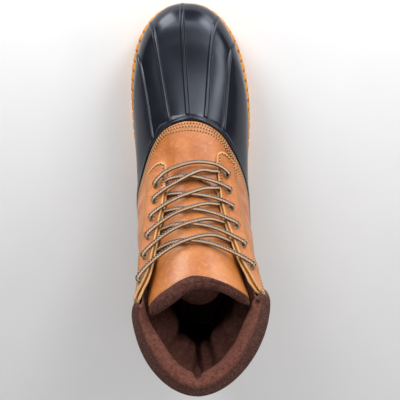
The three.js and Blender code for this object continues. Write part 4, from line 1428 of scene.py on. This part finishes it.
LIGHTS = (
    # name, place, aim, size, power
    ("inner front softbox", (-0.33, 0.58, 0.27), (0, 0.06, 0.06), (0.28, 0.5), 3.8),
    ("outer front softbox, upper half", (0.34, 0.57, 0.45), (0, 0.06, 0.06), (0.24, 0.3), 2.2),
    ("outer front softbox, lower half", (0.36, 0.6, 0.15), (0, 0.06, 0.06), (0.22, 0.28), 0.9),
    ("wide overhead softbox", (0.05, 0.72, 0.95), (0, 0, 0.05), (1.3, 0.22), 3.4),
    ("outer fill", (0.56, 0.34, 0.47), (0, 0.04, 0.06), (0.17, 0.17), 0.55),
    ("outer side strip", (1.0, 0.1, 0.75), (0, 0.08, 0.04), (0.7, 0.12), 1.0),
    ("inner side strip", (-1.0, 0.1, 0.75), (0, 0.08, 0.04), (0.7, 0.12), 0.4),
    ("back fill", (0, -0.65, 0.4), (0, -0.12, 0.16), (0.5, 0.3), 0.9),
)

# The studio's brightness by the sine of the height above the horizon: dim walls under a pale ceiling
SKY = ((0.0, 0.13), (0.3, 0.16), (0.5, 0.22), (0.75, 0.3), (0.9, 0.34), (1.0, 0.36))


def studio_sky():
    world = bpy.data.worlds.new("studio")
    world.use_nodes = True
    tree = world.node_tree
    place_in_sky = tree.nodes.new("ShaderNodeTexCoord")
    split = tree.nodes.new("ShaderNodeSeparateXYZ")
    ramp = tree.nodes.new("ShaderNodeValToRGB")
    ramp.color_ramp.interpolation = "EASE"
    top = max(value for _, value in SKY)
    while len(ramp.color_ramp.elements) < len(SKY):
        ramp.color_ramp.elements.new(0.5)
    for element, (height, value) in zip(ramp.color_ramp.elements, SKY):
        element.position = height
        element.color = (value / top, value / top, value / top, 1)
    background = tree.nodes["Background"]
    background.inputs[1].default_value = top
    tree.links.new(place_in_sky.outputs["Generated"], split.inputs[0])
    tree.links.new(split.outputs[2], ramp.inputs[0])
    tree.links.new(ramp.outputs[0], background.inputs[0])
    bpy.context.scene.world = world


CAMERA_PLACE = (0.00452, 0.08067, 0.765)
CAMERA_TILT = math.radians(-8)
CAMERA_LENS = 72
CAMERA_SENSOR = 36


def studio():
    stage_floor()
    studio_sky()
    for row in LIGHTS:
        soft_light(*row)
    bpy.context.scene.view_settings.view_transform = "Standard"
    lens = bpy.data.cameras.new("camera")
    lens.lens = CAMERA_LENS
    lens.sensor_width = CAMERA_SENSOR
    camera = bpy.data.objects.new("camera", lens)
    camera.location = CAMERA_PLACE
    camera.rotation_euler = (CAMERA_TILT, 0, 0)
    bpy.context.scene.collection.objects.link(camera)
    bpy.context.scene.camera = camera


# Add-on

def size_property(name, description, default, low, high):
    text = description + " in millimetres"
    return FloatProperty(name=name, description=text, default=default, min=low, max=high)


def tint_property(name, description, *screen_values):
    return FloatVectorProperty(name=name, description=description, default=colour(*screen_values), size=4,
                               subtype="COLOR", min=0, max=1)


class BootSizes(bpy.types.PropertyGroup):
    rib_height: size_property("Rib height", "Height of the toe ribs", 1.7, 0.2, 3)
    band_height: size_property("Band height", "Height of the shell's band", 1.05, 0.2, 3)
    sole_rib_pitch: size_property("Sole rib pitch", "Spacing of the sole's side ribs", 9, 4, 20)
    sole_rib_depth: size_property("Sole rib depth", "Depth between the side ribs", 2.7, 0.2, 3)
    lug_pitch: size_property("Lug pitch", "Spacing of the tread", 16, 8, 30)
    lug_depth: size_property("Lug depth", "Depth of the tread", 3.4, 0.5, 5)
    collar_pad: size_property("Collar padding", "Thickness of the collar inside", 12, 5, 18)
    lace_diameter: size_property("Lace diameter", "Diameter of the lace", 3.6, 2, 5)
    braid_pitch: size_property("Braid pitch", "Length of one plait of the lace", 2.4, 1, 5)
    stitch_pitch: size_property("Stitch pitch", "Spacing of the stitches", 2.6, 1.5, 6)


class BootColours(bpy.types.PropertyGroup):
    rubber: tint_property("Rubber", "Colour of the shell", 15, 16, 26)
    gum: tint_property("Gum", "Colour of the outsole", 250, 166, 58)
    leather_dark: tint_property("Leather, darker", "Darker tone of the upper", 174, 96, 43)
    leather_light: tint_property("Leather, lighter", "Lighter tone of the upper", 201, 120, 59)
    leather_worn: tint_property("Leather, worn", "Tone where the leather is rubbed", 232, 164, 100)
    tongue_dark: tint_property("Tongue, darker", "Darker tone of the tongue", 176, 100, 46)
    tongue_light: tint_property("Tongue, lighter", "Lighter tone of the tongue", 196, 123, 62)
    raw_edge: tint_property("Raw edge", "Colour of cut leather", 222, 186, 126)
    thread: tint_property("Thread", "Colour of the stitches", 232, 194, 134)
    wool_dark: tint_property("Wool, darker", "Darker tone of the collar", 72, 48, 43)
    wool_light: tint_property("Wool, lighter", "Flecks of the collar", 130, 92, 82)
    fleece_dark: tint_property("Fleece, darker", "Darker tone of the lining", 96, 58, 50)
    fleece_light: tint_property("Fleece, lighter", "Lighter tone of the lining", 136, 89, 77)
    rim_dark: tint_property("Tongue's fleece, darker", "Darker tone of the tongue's fleece", 62, 36, 31)
    rim_light: tint_property("Tongue's fleece, lighter", "Lighter tone of the tongue's fleece", 106, 70, 61)
    brass: tint_property("Brass", "Colour of the eyelets", 176, 164, 128)
    lace_navy: tint_property("Lace, navy", "Dark plaits of the lace", 9, 11, 36)
    lace_white: tint_property("Lace, white", "Pale plaits of the lace", 206, 186, 166)
    lace_cream: tint_property("Lace, cream", "Stripes of the lace", 238, 188, 132)


class BootOperator:
    """What the boot's operators share."""

    bl_options = {"REGISTER", "UNDO"}

    def execute(self, context):
        self.build(context.scene.boot_sizes, context.scene.boot_colours)
        return {"FINISHED"}


class BOOT_OT_studio(BootOperator, bpy.types.Operator):
    """Sets up the floor, the lights and the camera"""

    bl_idname = "boot.studio"
    bl_label = "Studio"

    def build(self, sizes, colours):
        studio()


class BOOT_OT_shell(BootOperator, bpy.types.Operator):
    """Makes the ribbed rubber shell"""

    bl_idname = "boot.shell"
    bl_label = "Rubber shell"

    def build(self, sizes, colours):
        rubber = rubber_material(colours.rubber)
        make_piece("rubber_shell_moulding", [rubber_shell(sizes)], [rubber], ["rubber_shell"])


class BOOT_OT_outsole(BootOperator, bpy.types.Operator):
    """Makes the gum outsole with its side ribs and tread"""

    bl_idname = "boot.outsole"
    bl_label = "Outsole"

    def build(self, sizes, colours):
        # The second material is the gum darkened to a fifth, painted shade for the notch cells
        materials = [gum_material("gum rubber", colours.gum),
                     gum_material("gum rubber, painted shade in the notches", shaded(colours.gum, 0.2))]
        make_piece("gum_outsole", [outsole(sizes)], materials, ["outsole"])


class BOOT_OT_upper(BootOperator, bpy.types.Operator):
    """Makes the leather upper and the two eyestays"""

    bl_idname = "boot.upper"
    bl_label = "Leather upper"

    def build(self, sizes, colours):
        leather = leather_material("tan leather", colours.leather_dark, colours.leather_light,
                                   colours.leather_worn)
        raw = raw_edge_material(colours.raw_edge)
        upper = make_piece("upper_leather", [upper_leather()], [leather, raw], ["upper"],
                           closed=False)
        thicken(upper, LEATHER_OUT - LEATHER_IN, 1)
        for side, name in ((-1, "inner"), (1, "outer")):
            piece = make_piece(f"eyestay_{name}_leather", [eyestay(side)], [leather, raw],
                               [f"eyestay_{name}"], closed=False)
            thicken(piece, OVERLAY_OUT - OVERLAY_IN, 1, 0.35)


class BOOT_OT_collar(BootOperator, bpy.types.Operator):
    """Makes the padded collar and the fleece lining"""

    bl_idname = "boot.collar"
    bl_label = "Collar and lining"

    def build(self, sizes, colours):
        wool = wool_material(colours.wool_dark, colours.wool_light)
        fleece = fleece_material("brown fleece", colours.fleece_dark, colours.fleece_light)
        # A copy of the fleece at half brightness is painted shade, for the lining below the crease and for
        # the insole
        fleece_painted_shade = fleece_material("brown fleece, darkened as painted shade", shaded(colours.fleece_dark, 0.5),
                                   shaded(colours.fleece_light, 0.5))
        band = make_piece("collar_band", [collar_band(sizes)], [wool], ["collar"])
        inside = make_piece("fleece_lining", [lining(sizes)], [fleece, fleece_painted_shade],
                            closed=False)
        thicken(inside, 1.2)
        # The insole deep inside takes the same painted-shade fleece
        sole = make_piece("fleece_insole", [insole()], [fleece_painted_shade], ["insole"])


class BOOT_OT_tongue(BootOperator, bpy.types.Operator):
    """Makes the tongue with its fleece back"""

    bl_idname = "boot.tongue"
    bl_label = "Tongue"

    def build(self, sizes, colours):
        leather = leather_material("tongue leather", colours.tongue_dark, colours.tongue_light,
                                   colours.leather_worn)
        fleece = fleece_material("tongue fleece", colours.rim_dark, colours.rim_light)
        piece = make_piece("padded_tongue", [tongue()], [leather, fleece], ["tongue"])


class BOOT_OT_eyelets(BootOperator, bpy.types.Operator):
    """Makes the brass eyelets"""

    bl_idname = "boot.eyelets"
    bl_label = "Eyelets"

    def build(self, sizes, colours):
        places = [eyelet_place(side, index) for side in (-1, 1) for index in range(EYELETS_A_SIDE)]
        normals = np.array([out for _, out, _ in places])
        centres = np.array([at for at, _, _ in places]) + normals * OVERLAY_OUT
        tangents = np.cross(normals, [1.0, 0.0, 0.0])
        brass = brass_material(colours.brass)
        piece = scatter("brass_eyelets", eyelet_ring(), centres, tangents, normals, brass)
        nodes = [f"eyelet_{name}_{i + 1}" for name in ("inner", "outer") for i in range(EYELETS_A_SIDE)]
        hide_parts(*nodes)


class BOOT_OT_lace(BootOperator, bpy.types.Operator):
    """Makes the braided lace"""

    bl_idname = "boot.lace"
    bl_label = "Lace"

    def build(self, sizes, colours):
        material = lace_material(colours.lace_navy, colours.lace_white, colours.lace_cream)
        tubes = [lace_tube(bar_points(), sizes)]
        for index in range(EYELETS_A_SIDE - 1):
            tubes.append(lace_tube(strand(-1, index, 0.55 * sizes.lace_diameter), sizes))
            tubes.append(lace_tube(strand(1, index, 0), sizes))
        nodes = ["lace_bar"] + [f"lace_cross_{i + 1}" for i in range(EYELETS_A_SIDE - 1)]
        make_piece("braided_lace", tubes, [material], nodes)


class BOOT_OT_stitches(BootOperator, bpy.types.Operator):
    """Makes the rows of stitches, and dark marks between them that paint the shade of their needle holes"""

    bl_idname = "boot.stitches"
    bl_label = "Stitches"

    def build(self, sizes, colours):
        pitch = sizes.stitch_pitch
        places = [stitch_places(row, pitch) for row in stitch_rows()]
        centres = np.concatenate([at for at, _, _ in places])
        tangents = np.concatenate([along for _, along, _ in places])
        normals = np.concatenate([normal for _, _, normal in places])
        scatter("cream_stitches", capsule(0.6 * pitch, 1.0, 0.85), centres, tangents, normals,
                thread_material(colours.thread))
        # Dark capsules between the stitches are painted shade for the needle holes
        between = centres + unit(tangents) * pitch / 2
        scatter("needle_hole_shades", capsule(1.6, 1.3, 0.28), between, tangents, normals, hole_shade_material())


class BOOT_PT_panel(bpy.types.Panel):
    """Lists the boot's pieces"""

    bl_label = "Duck Boot"
    bl_idname = "BOOT_PT_panel"
    bl_space_type = "VIEW_3D"
    bl_region_type = "UI"
    bl_category = "Duck Boot"

    def draw(self, context):
        for operator in OPERATORS:
            self.layout.operator(operator.bl_idname)
        for group in (context.scene.boot_sizes, context.scene.boot_colours):
            box = self.layout.box()
            for name in group.__annotations__:
                box.prop(group, name)


OPERATORS = (
    BOOT_OT_studio,
    BOOT_OT_shell,
    BOOT_OT_outsole,
    BOOT_OT_upper,
    BOOT_OT_collar,
    BOOT_OT_tongue,
    BOOT_OT_eyelets,
    BOOT_OT_lace,
    BOOT_OT_stitches,
)
CLASSES = (BootSizes, BootColours, *OPERATORS, BOOT_PT_panel)


def register():
    for made in CLASSES:
        bpy.utils.register_class(made)
    bpy.types.Scene.boot_sizes = PointerProperty(type=BootSizes)
    bpy.types.Scene.boot_colours = PointerProperty(type=BootColours)


def unregister():
    del bpy.types.Scene.boot_colours
    del bpy.types.Scene.boot_sizes
    for made in reversed(CLASSES):
        bpy.utils.unregister_class(made)


def main():
    register()
    for operator in OPERATORS:
        getattr(bpy.ops.boot, operator.bl_idname.split(".")[1])()


if __name__ == "__main__":
    main()
